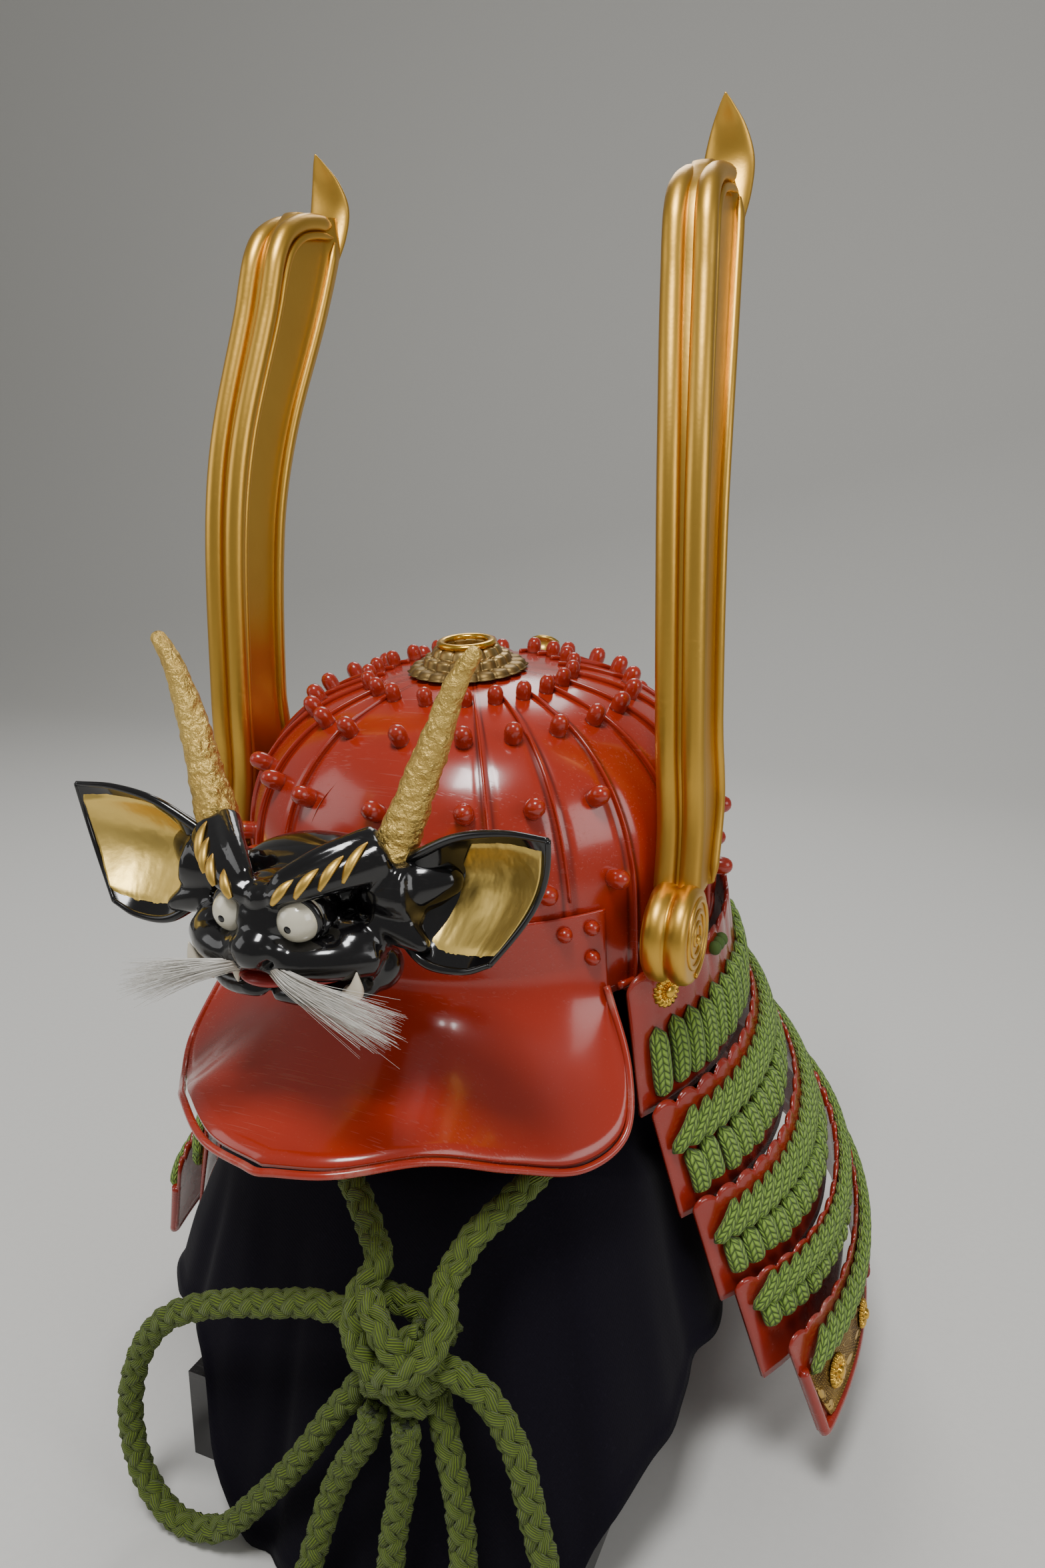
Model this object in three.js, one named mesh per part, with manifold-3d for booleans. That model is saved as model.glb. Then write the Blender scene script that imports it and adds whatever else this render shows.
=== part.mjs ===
// Samurai helmet on a draped stand, in millimetres, +Z up, front towards -Y.
// The origin is the centre of the stand's bottom face. The helmet is modelled upright around its
// own rim centre and then tilted nose down on the stand.
import * as THREE from 'three';
import { mergeVertices } from 'three/addons/utils/BufferGeometryUtils.js';
import Module from 'manifold-3d';

const wasm = await Module();
wasm.setup();

// Driving dimensions
const CLEARANCE = 0.3;
const HELMET_TILT = 7.5; // degrees, nose down
const RIM_HEIGHT = 250;

const BOWL_RADIUS = 106;
const BOWL_HEIGHT = 108;
const BOWL_WALL = 3;
const BOWL_FRONT_REACH = 0.96;
const BOWL_BACK_REACH = 1.06;
const BOWL_SHIFT = 3;
const RIB_HEIGHT = 2.6;
const RIB_HALF_ANGLE = 1.1;
const RIB_PITCH = 16;
const RIB_FIRST = 26.5;
const RIBS_PER_SIDE = 10;
const RIVET_RADIUS = 4.2;
const RIVET_HEIGHT = 10;
const RIVET_FROM_RIB = 5;

const ORNAMENT_RADIUS = 25.6;
const ORNAMENT_HEIGHT = 10.5;
const CROWN_RING_RADIUS = 12;
const CROWN_RING_WIRE = 1.6;
const BACK_STUD_RADIUS = 8;
const BACK_STUD_HEIGHT = 12;
const BACK_STUD_LEVEL = 92;

const VISOR_WALL = 2.4;
const VISOR_HALF_ANGLE = 50;
const FLANGE_TOP = 35;
const FLANGE_CREASE = 12;
const VISOR_REACH = 186;

const MASK_CENTRE = { y: -150, z: 63 };
const MASK_SCALE = 1;
const HORN_BASE_RADIUS = 8.2;
const HORN_TIP_RADIUS = 4.6;
const EYE_RADIUS = 8.2;
const EAR_WALL = 2.6;
const LINING_WALL = 1;

const CREST_HEIGHT = 304;
const CREST_THICKNESS = 21;
const CREST_DEPTH = 45;
const BOSS_RADIUS = 19.5;
const BOSS_WIDTH = 20;

const GUARD_HALF_WIDTH = 181;
const GUARD_DROP = 209;
const GUARD_TOP = 4;
const LAME_WALL = 2;
const LACE_THICKNESS = 5.6;
const GUARD_STATIONS = 19;

const CORD_DIAMETER = 11.4;
const CORD_SIDES = 8;

const BASE_WIDTH = 190;
const BASE_DEPTH = 240;
const BASE_HEIGHT = 45;
const CUSHION_TOP = 160;
const CUSHION_WIDTH = 228;
const CUSHION_DEPTH = 242;
const POST_RADIUS = 20;
const PAD_RADIUS = 38;
const CLOTH_CROWN_RADIUS = 46;
const PAD_HEIGHT = 34;
const CLOTH_WALL = 1.6;
const CLOTH_TOP = 351.4;
const POST_SHIFT = -13;

const radians = THREE.MathUtils.degToRad;
const lerp = THREE.MathUtils.lerp;
const clamp = THREE.MathUtils.clamp;

// Finishes
function finish(color, roughness, metalness) {
  return new THREE.MeshStandardMaterial({ color, roughness, metalness });
}

const FINISH = {
  vermilion: finish(0xb5321c, 0.22, 0),
  darkRed: finish(0x8c2418, 0.3, 0),
  blackLacquer: finish(0x0b0c0e, 0.15, 0),
  leafGold: finish(0xb8923a, 0.35, 0.9),
  satinGold: finish(0xb98a35, 0.4, 0.8),
  antiqueGold: finish(0x7a6c48, 0.5, 0.7),
  brightGold: finish(0xd0a53a, 0.3, 0.9),
  ivory: finish(0xe4e2dc, 0.35, 0),
  hair: finish(0xdedbd4, 0.7, 0),
  mouthRed: finish(0xa01a22, 0.3, 0),
  greenLace: finish(0x5f8f43, 0.8, 0),
  greenCord: finish(0x4c6a24, 0.85, 0),
  mixedBraid: finish(0x9a9c8c, 0.8, 0),
  redBraid: finish(0xc2303a, 0.8, 0),
  purpleCloth: finish(0x1d1826, 0.85, 0),
  standBlack: finish(0x0d0d0f, 0.2, 0),
  padBlack: finish(0x1a1a1c, 0.8, 0),
};

// Tables are read by straight lines between their rows.
function fromTable(table, key, value, column) {
  const last = table.length - 1;
  if (value <= table[0][key]) return table[0][column];
  if (value >= table[last][key]) return table[last][column];
  const i = table.findIndex((row) => row[key] >= value);
  const before = table[i - 1];
  const after = table[i];
  const share = (value - before[key]) / (after[key] - before[key]);
  return lerp(before[column], after[column], share);
}

function spread(count, from, to) {
  return Array.from({ length: count }, (_, i) => lerp(from, to, i / (count - 1)));
}

function geometryOf(positions, triangles) {
  const geometry = new THREE.BufferGeometry();
  geometry.setAttribute('position', new THREE.Float32BufferAttribute(positions, 3));
  geometry.setIndex(triangles);
  return geometry;
}

function signedVolume(geometry) {
  const at = geometry.attributes.position;
  const index = geometry.index;
  const [a, b, c] = [new THREE.Vector3(), new THREE.Vector3(), new THREE.Vector3()];
  let sum = 0;
  for (let i = 0; i < index.count; i += 3) {
    a.fromBufferAttribute(at, index.getX(i));
    b.fromBufferAttribute(at, index.getX(i + 1));
    c.fromBufferAttribute(at, index.getX(i + 2));
    sum += a.dot(b.cross(c));
  }
  return sum;
}

function facingOut(geometry) {
  if (signedVolume(geometry) < 0) {
    const order = geometry.index.array;
    for (let i = 0; i < order.length; i += 3) [order[i], order[i + 1]] = [order[i + 1], order[i]];
  }
  return geometry;
}

// A closed wall between two grids of points, front[row][column] and back[row][column].
function wallBetween(front, back, { round = false, pole = false } = {}) {
  const rows = front.length;
  const columns = front[0].length;
  const positions = [];
  for (const grid of [front, back]) {
    for (const row of grid) for (const point of row) positions.push(point.x, point.y, point.z);
  }
  const id = (side, row, column) => (side * rows + row) * columns + (column % columns);
  const triangles = [];
  const quad = (a, b, c, d) => triangles.push(a, b, c, a, c, d);
  const steps = round ? columns : columns - 1;
  for (let r = 0; r < rows - 1; r += 1) {
    for (let c = 0; c < steps; c += 1) {
      quad(id(0, r, c), id(0, r + 1, c), id(0, r + 1, c + 1), id(0, r, c + 1));
      quad(id(1, r, c), id(1, r, c + 1), id(1, r + 1, c + 1), id(1, r + 1, c));
    }
  }
  for (let c = 0; c < steps; c += 1) {
    if (!pole) quad(id(0, 0, c), id(0, 0, c + 1), id(1, 0, c + 1), id(1, 0, c));
    const end = rows - 1;
    quad(id(0, end, c + 1), id(0, end, c), id(1, end, c), id(1, end, c + 1));
  }
  if (!round) {
    const edge = columns - 1;
    for (let r = 0; r < rows - 1; r += 1) {
      quad(id(0, r + 1, 0), id(0, r, 0), id(1, r, 0), id(1, r + 1, 0));
      quad(id(0, r, edge), id(0, r + 1, edge), id(1, r + 1, edge), id(1, r, edge));
    }
  }
  return facingOut(tidy(geometryOf(positions, triangles)));
}

// A closed body through rings of points, each end closed by a fan round its middle.
function loft(rings) {
  const sides = rings[0].length;
  const positions = rings.flat().flatMap((point) => [point.x, point.y, point.z]);
  const triangles = [];
  for (let r = 0; r < rings.length - 1; r += 1) {
    for (let s = 0; s < sides; s += 1) {
      const next = (s + 1) % sides;
      const [a, b, c, d] = [r * sides + s, r * sides + next, (r + 1) * sides + next, (r + 1) * sides + s];
      triangles.push(a, b, c, a, c, d);
    }
  }
  for (const [ring, turn] of [[0, true], [rings.length - 1, false]]) {
    const middle = new THREE.Vector3();
    for (const point of rings[ring]) middle.addScaledVector(point, 1 / sides);
    const hub = positions.length / 3;
    positions.push(middle.x, middle.y, middle.z);
    for (let s = 0; s < sides; s += 1) {
      const [a, b] = [ring * sides + s, ring * sides + ((s + 1) % sides)];
      triangles.push(hub, turn ? b : a, turn ? a : b);
    }
  }
  return facingOut(tidy(geometryOf(positions, triangles)));
}

// Merges shared corners and drops triangles that have no area.
function tidy(geometry) {
  const bare = geometry.clone();
  for (const name of Object.keys(bare.attributes)) if (name !== 'position') bare.deleteAttribute(name);
  const merged = mergeVertices(bare, 1e-4);
  const kept = [];
  const order = merged.index.array;
  for (let i = 0; i < order.length; i += 3) {
    const [a, b, c] = [order[i], order[i + 1], order[i + 2]];
    if (a !== b && b !== c && c !== a) kept.push(a, b, c);
  }
  merged.setIndex(kept);
  return merged;
}

function solid(geometry) {
  const merged = tidy(geometry);
  return new wasm.Manifold(new wasm.Mesh({
    numProp: 3,
    vertProperties: new Float32Array(merged.attributes.position.array),
    triVerts: new Uint32Array(merged.index.array),
  }));
}

function surface(manifold) {
  const mesh = manifold.getMesh();
  return geometryOf(Array.from(mesh.vertProperties), Array.from(mesh.triVerts));
}

function joined(geometries) {
  return geometries.map(solid).reduce((sum, piece) => sum.add(piece));
}

function ball(centre, radii, across = 8, down = 5) {
  const geometry = new THREE.SphereGeometry(1, across, down);
  geometry.scale(radii.x, radii.y, radii.z);
  geometry.translate(centre.x, centre.y, centre.z);
  return geometry;
}

function point(x, y, z) {
  return new THREE.Vector3(x, y, z);
}

// A tapered round body along a smooth curve.
function taperedAlong(points, radii, steps, sides) {
  const curve = new THREE.CatmullRomCurve3(points);
  const frames = curve.computeFrenetFrames(steps, false);
  const rings = spread(steps + 1, 0, 1).map((share, i) => {
    const centre = curve.getPointAt(share);
    const place = share * (radii.length - 1);
    const from = Math.min(Math.floor(place), radii.length - 2);
    const radius = lerp(radii[from], radii[from + 1], place - from);
    return Array.from({ length: sides }, (_, s) => {
      const turn = (2 * Math.PI * s) / sides;
      return centre.clone()
        .addScaledVector(frames.normals[i], radius * Math.cos(turn))
        .addScaledVector(frames.binormals[i], radius * Math.sin(turn));
    });
  });
  return loft(rings);
}

function cordAlong(points, steps, grow = 0) {
  const section = new THREE.Shape();
  for (let s = 0; s < CORD_SIDES; s += 1) {
    const turn = (2 * Math.PI * s) / CORD_SIDES;
    const radius = CORD_DIAMETER / 2 + grow;
    const [x, y] = [radius * Math.cos(turn), radius * Math.sin(turn)];
    if (s === 0) section.moveTo(x, y);
    else section.lineTo(x, y);
  }
  section.closePath();
  const extrudePath = new THREE.CatmullRomCurve3(points, false, 'centripetal');
  return facingOut(tidy(new THREE.ExtrudeGeometry(section, { steps, extrudePath, bevelEnabled: false })));
}

const model = new THREE.Group();
const helmet = new THREE.Group();
helmet.rotation.x = radians(HELMET_TILT);
helmet.position.z = RIM_HEIGHT;
model.add(helmet);

function node(parent, name, geometry, material) {
  geometry.computeVertexNormals();
  const mesh = new THREE.Mesh(geometry, material);
  mesh.name = name;
  parent.add(mesh);
  return mesh;
}

const SIDES = [{ side: 1, name: 'left' }, { side: -1, name: 'right' }];

function mirrored(points, side) {
  return points.map((p) => point(p.x * side, p.y, p.z));
}

// Bowl: heights are shares of BOWL_HEIGHT and radii shares of BOWL_RADIUS.
const BOWL_PROFILE = [
  { height: -0.055, radius: 0.985 },
  { height: 0.355, radius: 1.0 },
  { height: 0.48, radius: 0.979 },
  { height: 0.62, radius: 0.93 },
  { height: 0.76, radius: 0.833 },
  { height: 0.85, radius: 0.727 },
  { height: 0.93, radius: 0.567 },
  { height: 1.012, radius: 0.24 },
  { height: 1.014, radius: 0.0 },
];

// An angle of 0 is the front, and it grows towards the wearer's left, +X.
function bowlPoint(angle, height, lift = 0, scale = 1) {
  const share = height / BOWL_HEIGHT;
  const radius = BOWL_RADIUS * fromTable(BOWL_PROFILE, 'height', share, 'radius') + lift;
  const turn = radians(angle);
  const reach = Math.cos(turn) > 0 ? BOWL_FRONT_REACH : BOWL_BACK_REACH;
  const y = (BOWL_SHIFT * radius) / BOWL_RADIUS - radius * Math.cos(turn) * reach;
  return point(radius * Math.sin(turn) * scale, y * scale, height * scale);
}

function bowlNormal(angle, height) {
  const across = bowlPoint(angle + 1, height).sub(bowlPoint(angle - 1, height));
  const upward = bowlPoint(angle, height + 1.5).sub(bowlPoint(angle, height - 1.5));
  return across.cross(upward).normalize();
}

function ribLift(height, angle) {
  const underVisor = Math.abs(angle) < VISOR_HALF_ANGLE + 2 && height < FLANGE_TOP + 5;
  if (underVisor) return 0;
  const radius = fromTable(BOWL_PROFILE, 'height', height / BOWL_HEIGHT, 'radius');
  return RIB_HEIGHT * Math.min(1, 2 * radius);
}

function ribAngles() {
  const angles = [];
  for (let i = 0; i < RIBS_PER_SIDE; i += 1) {
    const angle = RIB_FIRST + i * RIB_PITCH;
    angles.push(angle, -angle);
  }
  return angles;
}

function bowlStations() {
  const stations = [{ angle: -180, raised: false }];
  for (const angle of [-13, 0, 13]) stations.push({ angle, raised: false });
  for (const rib of ribAngles()) {
    stations.push({ angle: rib - RIB_HALF_ANGLE, raised: false });
    stations.push({ angle: rib, raised: true });
    stations.push({ angle: rib + RIB_HALF_ANGLE, raised: false });
  }
  return stations.sort((a, b) => a.angle - b.angle);
}

function bowlBody(stations, scale, drop) {
  const heights = BOWL_PROFILE.slice(0, -1).map((row) => row.height * BOWL_HEIGHT);
  const rings = heights.map((height, i) => stations.map(({ angle, raised }) => {
    const at = bowlPoint(angle, height, raised ? ribLift(height, angle) : 0, scale);
    if (i === 0) at.z -= drop;
    return at;
  }));
  return solid(loft(rings));
}

// A rivet: a blunt four-sided stud whose foot is sunk in the plate below it.
function rivet(at, normal) {
  const turn = new THREE.Quaternion().setFromUnitVectors(point(0, 0, 1), normal);
  const place = (x, y, z) => point(x, y, z).applyQuaternion(turn).add(at);
  const corner = (radius, z, s) => {
    const angle = (Math.PI * s) / 2 + Math.PI / 4;
    return place(radius * Math.cos(angle), radius * Math.sin(angle), z);
  };
  const spots = [place(0, 0, -1.5), place(0, 0, RIVET_HEIGHT)];
  for (let s = 0; s < 4; s += 1) spots.push(corner(RIVET_RADIUS, -1.5, s));
  for (let s = 0; s < 4; s += 1) spots.push(corner(0.88 * RIVET_RADIUS, 0.62 * RIVET_HEIGHT, s));
  const triangles = [];
  for (let s = 0; s < 4; s += 1) {
    const [low, nextLow, high, nextHigh] = [2 + s, 2 + ((s + 1) % 4), 6 + s, 6 + ((s + 1) % 4)];
    triangles.push(0, nextLow, low, low, nextLow, nextHigh, low, nextHigh, high, high, nextHigh, 1);
  }
  return facingOut(geometryOf(spots.flatMap((p) => [p.x, p.y, p.z]), triangles));
}

const RIVET_ROWS = [
  { height: 0.972, from: 0 },
  { height: 0.888, from: 0 },
  { height: 0.69, from: 0, without: [60, 98] },
  { height: 0.417, from: 0, without: [60, 98] },
  { height: 0.15, from: 98 },
];

function rivetColumns() {
  return [0, ...ribAngles().map((rib) => rib - Math.sign(rib) * RIVET_FROM_RIB)];
}

function makeBowl() {
  const inner = Array.from({ length: 16 }, (_, i) => ({ angle: -180 + i * 22.5, raised: false }));
  let bowl = bowlBody(bowlStations(), 1, 0);
  for (const row of RIVET_ROWS) {
    const height = row.height * BOWL_HEIGHT;
    const [low, high] = row.without ?? [0, 0];
    const kept = rivetColumns().filter((angle) => {
      const turn = Math.abs(angle);
      return turn >= row.from && (turn <= low || turn >= high);
    });
    for (const angle of kept) {
      bowl = bowl.add(solid(rivet(bowlPoint(angle, height), bowlNormal(angle, height))));
    }
  }
  bowl = bowl.subtract(bowlBody(inner, 1 - BOWL_WALL / BOWL_RADIUS, BOWL_WALL * 3));
  node(helmet, 'bowl', surface(bowl), FINISH.vermilion);
}

// Crown ornament: a petalled cone with a rolled ring on top and a blind hollow inside the ring.
function makeCrown() {
  const seat = BOWL_HEIGHT * 1.014 + CLEARANCE;
  const profile = [
    [0, 0], [0.95, 0], [1, 0.08], [0.82, 0.32], [0.66, 0.64], [0.6, 0.98], [0.36, 1], [0.34, 0.55],
    [0, 0.55],
  ].map(([radius, rise]) => new THREE.Vector2(radius * ORNAMENT_RADIUS, rise * ORNAMENT_HEIGHT));
  const cone = new THREE.LatheGeometry(profile, 18);
  cone.rotateX(Math.PI / 2);
  cone.translate(0, 0, seat);
  node(helmet, 'crown_ornament', facingOut(tidy(cone)), FINISH.antiqueGold);

  const wire = Array.from({ length: 6 }, (_, i) => {
    const turn = (2 * Math.PI * i) / 6;
    const radius = CROWN_RING_RADIUS + CROWN_RING_WIRE * Math.cos(turn);
    return new THREE.Vector2(radius, CROWN_RING_WIRE * Math.sin(turn));
  });
  wire.push(wire[0].clone());
  const ring = new THREE.LatheGeometry(wire, 18);
  ring.rotateX(Math.PI / 2);
  const ringHeight = seat + ORNAMENT_HEIGHT + CROWN_RING_WIRE * Math.sin(Math.PI / 3) + CLEARANCE;
  ring.translate(0, 0, ringHeight);
  node(helmet, 'crown_ring', facingOut(tidy(ring)), FINISH.brightGold);

  const at = bowlPoint(180, BACK_STUD_LEVEL, 0.8);
  const normal = bowlNormal(180, BACK_STUD_LEVEL);
  const stud = new THREE.LatheGeometry([
    [0, 0], [0.8, 0], [0.8, 0.6], [1, 0.62], [1, 0.85], [0.85, 1], [0, 1],
  ].map(([r, h]) => new THREE.Vector2(r * BACK_STUD_RADIUS, h * BACK_STUD_HEIGHT)), 12);
  stud.rotateX(Math.PI / 2);
  stud.applyQuaternion(new THREE.Quaternion().setFromUnitVectors(point(0, 0, 1), normal));
  stud.translate(at.x, at.y, at.z);
  node(helmet, 'back_stud', facingOut(tidy(stud)), FINISH.brightGold);
}

// Visor: the brim's edge from the middle to its end, as shares of VISOR_REACH.
const BRIM_EDGE = [
  { share: 0.0, out: 0.0, front: 1.0, height: -0.085 },
  { share: 0.14, out: 0.139, front: 0.967, height: -0.081 },
  { share: 0.29, out: 0.277, front: 0.863, height: -0.095 },
  { share: 0.46, out: 0.392, front: 0.745, height: -0.174 },
  { share: 0.62, out: 0.49, front: 0.634, height: -0.234 },
  { share: 0.75, out: 0.545, front: 0.531, height: -0.211 },
  { share: 0.87, out: 0.521, front: 0.438, height: -0.115 },
  { share: 1.0, out: 0.452, front: 0.362, height: 0.016 },
];

function brimPoint(u) {
  const share = Math.abs(u);
  const at = (column) => VISOR_REACH * fromTable(BRIM_EDGE, 'share', share, column);
  return point(Math.sign(u) * at('out'), -at('front'), at('height'));
}

const VISOR_ROWS = [
  { part: 'flange', height: 1.0 },
  { part: 'flange', height: 0.0 },
  { part: 'brim', share: 0.22 },
  { part: 'brim', share: 0.5 },
  { part: 'brim', share: 0.78 },
  { part: 'brim', share: 1.0 },
];

function visorPoint(u, row, lift) {
  const angle = u * VISOR_HALF_ANGLE;
  const seat = CLEARANCE + lift;
  if (row.part === 'flange') {
    return bowlPoint(angle, lerp(FLANGE_CREASE, FLANGE_TOP, row.height), seat);
  }
  const start = bowlPoint(angle, FLANGE_CREASE, seat);
  const turn = bowlPoint(angle, FLANGE_CREASE - 0.11 * VISOR_REACH, seat + 0.02 * VISOR_REACH);
  const end = brimPoint(u);
  const s = row.share;
  const at = start.multiplyScalar((1 - s) ** 2).addScaledVector(turn, 2 * s * (1 - s));
  at.addScaledVector(end, s ** 2);
  if (row.share < 1 || lift > 0) at.z += (lift - VISOR_WALL) * 0.55 * s;
  return at;
}

const VISOR_RIVETS = [
  { angle: 40.5, height: 28 },
  { angle: 46.5, height: 28.5 },
  { angle: 46.5, height: 15.5 },
];

function makeVisor() {
  const columns = spread(19, -1, 1);
  const grid = (lift) => VISOR_ROWS.map((row) => columns.map((u) => visorPoint(u, row, lift)));
  const pieces = [wallBetween(grid(VISOR_WALL), grid(0))];
  for (const { angle, height } of VISOR_RIVETS) {
    for (const { side } of SIDES) {
      const at = bowlPoint(side * angle, height, CLEARANCE + VISOR_WALL);
      pieces.push(rivet(at, bowlNormal(side * angle, height)));
    }
  }
  node(helmet, 'visor', surface(joined(pieces)), FINISH.vermilion);
}

// Beast mask: places are measured from MASK_CENTRE, which lies in the middle of the face.
function facePoint(x, y, z) {
  return point(x * MASK_SCALE, MASK_CENTRE.y + y * MASK_SCALE, MASK_CENTRE.z + z * MASK_SCALE);
}

const HEAD_BALLS = [
  { x: 0, y: 24, z: 6, across: 33, deep: 21, tall: 19 },
  { x: 0, y: -2, z: 2, across: 21, deep: 18, tall: 16 },
  { x: 0, y: -17, z: -4, across: 10, deep: 9, tall: 8.5 },
  { x: 7.5, y: -15, z: -5.5, across: 6, deep: 6.5, tall: 5.5 },
  { x: 25, y: 0, z: -7, across: 13, deep: 12, tall: 9 },
  { x: 33, y: 4, z: -17, across: 7, deep: 10, tall: 8.5 },
];

const HEAD_RIDGES = [
  { from: [3, -14, 12], over: [18, -8, 17], to: [35, 12, 21], radii: [4, 6, 10], steps: 3 },
  { from: [6, -18, -8], over: [20, -13, -8], to: [36, 0, -10], radii: [5, 7.5, 7], steps: 3 },
  { from: [0, -16, -20], over: [18, -12, -22], to: [33, 1, -20], radii: [4, 4, 6], steps: 3 },
  { from: [28, 18, 8], over: [38, 12, 8], to: [48, 10, 10], radii: [14, 13, 11], steps: 2 },
];

const EAR_ROWS = [
  { share: 0, topX: 42, topY: 12, topZ: 20, lowX: 40, lowY: 4, lowZ: -3, cup: 9 },
  { share: 0.4, topX: 60, topY: 11, topZ: 30, lowX: 52, lowY: -1, lowZ: -10, cup: 16 },
  { share: 0.75, topX: 78, topY: 10, topZ: 34, lowX: 66, lowY: -2, lowZ: -10, cup: 13 },
  { share: 1, topX: 93, topY: 8, topZ: 34.5, lowX: 75.5, lowY: -2, lowZ: -6, cup: 4 },
];

function earPoint(side, share, across, lift) {
  const at = (column) => fromTable(EAR_ROWS, 'share', share, column);
  const bow = Math.sin(Math.PI * across);
  const x = lerp(at('topX'), at('lowX'), across) + 5 * share * bow;
  const y = lerp(at('topY'), at('lowY'), across) + at('cup') * bow + lift;
  const z = lerp(at('topZ'), at('lowZ'), across);
  const place = facePoint(x, y, z);
  return point(place.x * side, place.y, place.z);
}

function earShell(side, from, to, near, far, margin) {
  const grid = (lift) => spread(4, from, to).map(
    (share) => spread(5, margin, 1 - margin).map((across) => earPoint(side, share, across, lift)),
  );
  return wallBetween(grid(near), grid(far));
}

const HORN_ROUTE = [
  { x: 34, y: 14, z: 18 },
  { x: 40, y: 18, z: 34 },
  { x: 49, y: 25, z: 58 },
  { x: 56, y: 28, z: 76 },
  { x: 63.7, y: 30, z: 87.4 },
];

function makeMask() {
  const eyes = SIDES.map(({ side }) => facePoint(12.6 * side, -6, 4.5));
  const pieces = [];
  for (const { side } of SIDES) {
    for (const part of HEAD_BALLS) {
      if (part.x === 0 && side < 0) continue;
      const radii = { x: part.across, y: part.deep, z: part.tall };
      pieces.push(ball(facePoint(part.x * side, part.y, part.z), radii));
    }
    for (const ridge of HEAD_RIDGES) {
      const route = [ridge.from, ridge.over, ridge.to].map(([x, y, z]) => facePoint(x * side, y, z));
      pieces.push(taperedAlong(route, ridge.radii, ridge.steps, 5));
    }
    pieces.push(earShell(side, 0, 1, 0, EAR_WALL, 0));
  }
  let head = joined(pieces);

  const mouthAt = facePoint(0, -4, -15.5);
  const mouth = (grow) => ball(mouthAt, { x: 27 + grow, y: 14 + grow, z: 4 + grow }, 10, 4);
  head = head.subtract(solid(mouth(CLEARANCE)));
  const eye = (at, grow) => ball(at, { x: EYE_RADIUS + grow, y: EYE_RADIUS + grow, z: EYE_RADIUS + grow });
  for (const at of eyes) head = head.subtract(solid(eye(at, CLEARANCE)));

  SIDES.forEach(({ side, name }, i) => {
    const lining = earShell(side, 0.3, 0.97, -CLEARANCE - LINING_WALL, -CLEARANCE, 0.06);
    node(helmet, `ear_lining_${name}`, lining, FINISH.leafGold);
    head = head.subtract(solid(earShell(side, 0.29, 0.98, -4 * LINING_WALL, 0.2, 0.05)));
    node(helmet, `eye_${name}`, facingOut(tidy(eye(eyes[i], 0))), FINISH.ivory);
    const route = mirrored(HORN_ROUTE.map((p) => facePoint(p.x, p.y, p.z)), side);
    const radii = [HORN_BASE_RADIUS, (HORN_BASE_RADIUS + HORN_TIP_RADIUS) / 2, HORN_TIP_RADIUS];
    const horn = (grow) => taperedAlong(route, radii.map((r) => r + grow), 6, 7);
    node(helmet, `horn_${name}`, horn(0), FINISH.leafGold);
    head = head.subtract(solid(horn(CLEARANCE)));

    const root = facePoint(28 * side, -8.5, -20);
    const fang = (grow) => taperedAlong(
      [root, root.clone().add(point(4 * side, -3.5, 3)), root.clone().add(point(5.5 * side, -4, 10))],
      [3.4 + grow, 2.6 + grow, 0.8 + grow], 3, 5,
    );
    node(helmet, `fang_${name}`, fang(0), FINISH.ivory);
    head = head.subtract(solid(fang(CLEARANCE)));

    const whisker = [
      facePoint(7 * side, -17, -9), facePoint(20 * side, -26, -14), facePoint(47.5 * side, -25, -27),
    ];
    node(helmet, `whisker_${name}`, taperedAlong(whisker, [1.6, 4, 5.5, 2], 5, 5), FINISH.hair);
    head = head.subtract(solid(taperedAlong(whisker, [2, 4.4, 5.9, 2.4], 5, 5)));
  });
  node(helmet, 'mouth', surface(solid(mouth(0)).subtract(fangRoom())), FINISH.mouthRed);
  head = head.subtract(solid(maskPost(CLEARANCE)));
  const main = head.decompose().sort((a, b) => b.volume() - a.volume())[0];
  node(helmet, 'beast_head', surface(main), FINISH.blackLacquer);

  const post = maskPost(0);
  const room = bowlBody(bowlStations(), 1 + CLEARANCE / BOWL_RADIUS, 0);
  node(helmet, 'mask_post', surface(solid(post).subtract(room)), FINISH.blackLacquer);
}

function maskPost(grow) {
  const back = bowlPoint(0, MASK_CENTRE.z - 3).y + 4;
  const front = facePoint(0, 34, 0).y - grow;
  const post = new THREE.BoxGeometry(14 + 2 * grow, back - front, 9 + 2 * grow);
  post.translate(0, (back + front) / 2, MASK_CENTRE.z - 3);
  return post;
}

// The room that both fangs take, with the running clearance round them.
function fangRoom() {
  return SIDES.map(({ side }) => {
    const root = facePoint(28 * side, -8.5, -20);
    const route = [root, root.clone().add(point(4 * side, -3.5, 3)),
      root.clone().add(point(5.5 * side, -4, 10))];
    return solid(taperedAlong(route, [3.8, 3, 1.2], 3, 5));
  }).reduce((sum, piece) => sum.add(piece));
}

// Side crests: places along the crest's rise from its boss, as shares of CREST_HEIGHT, CREST_DEPTH
// and CREST_THICKNESS. The middle of its thickness leans inwards as it rises.
const CREST_ROWS = [
  { rise: 0.1, out: 0.351, front: -1.13, depth: 0.78, wide: 0.95 },
  { rise: 0.2, out: 0.349, front: -0.93, depth: 0.93, wide: 0.95 },
  { rise: 0.31, out: 0.345, front: -0.85, depth: 0.82, wide: 0.98 },
  { rise: 0.55, out: 0.338, front: -0.62, depth: 0.85, wide: 1.0 },
  { rise: 0.685, out: 0.331, front: -0.38, depth: 0.95, wide: 1.05 },
  { rise: 0.85, out: 0.316, front: 0.11, depth: 1.08, wide: 1.14 },
  { rise: 0.95, out: 0.309, front: 0.42, depth: 1.12, wide: 1.1 },
  { rise: 0.992, out: 0.306, front: 0.82, depth: 0.8, wide: 0.9 },
];

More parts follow.
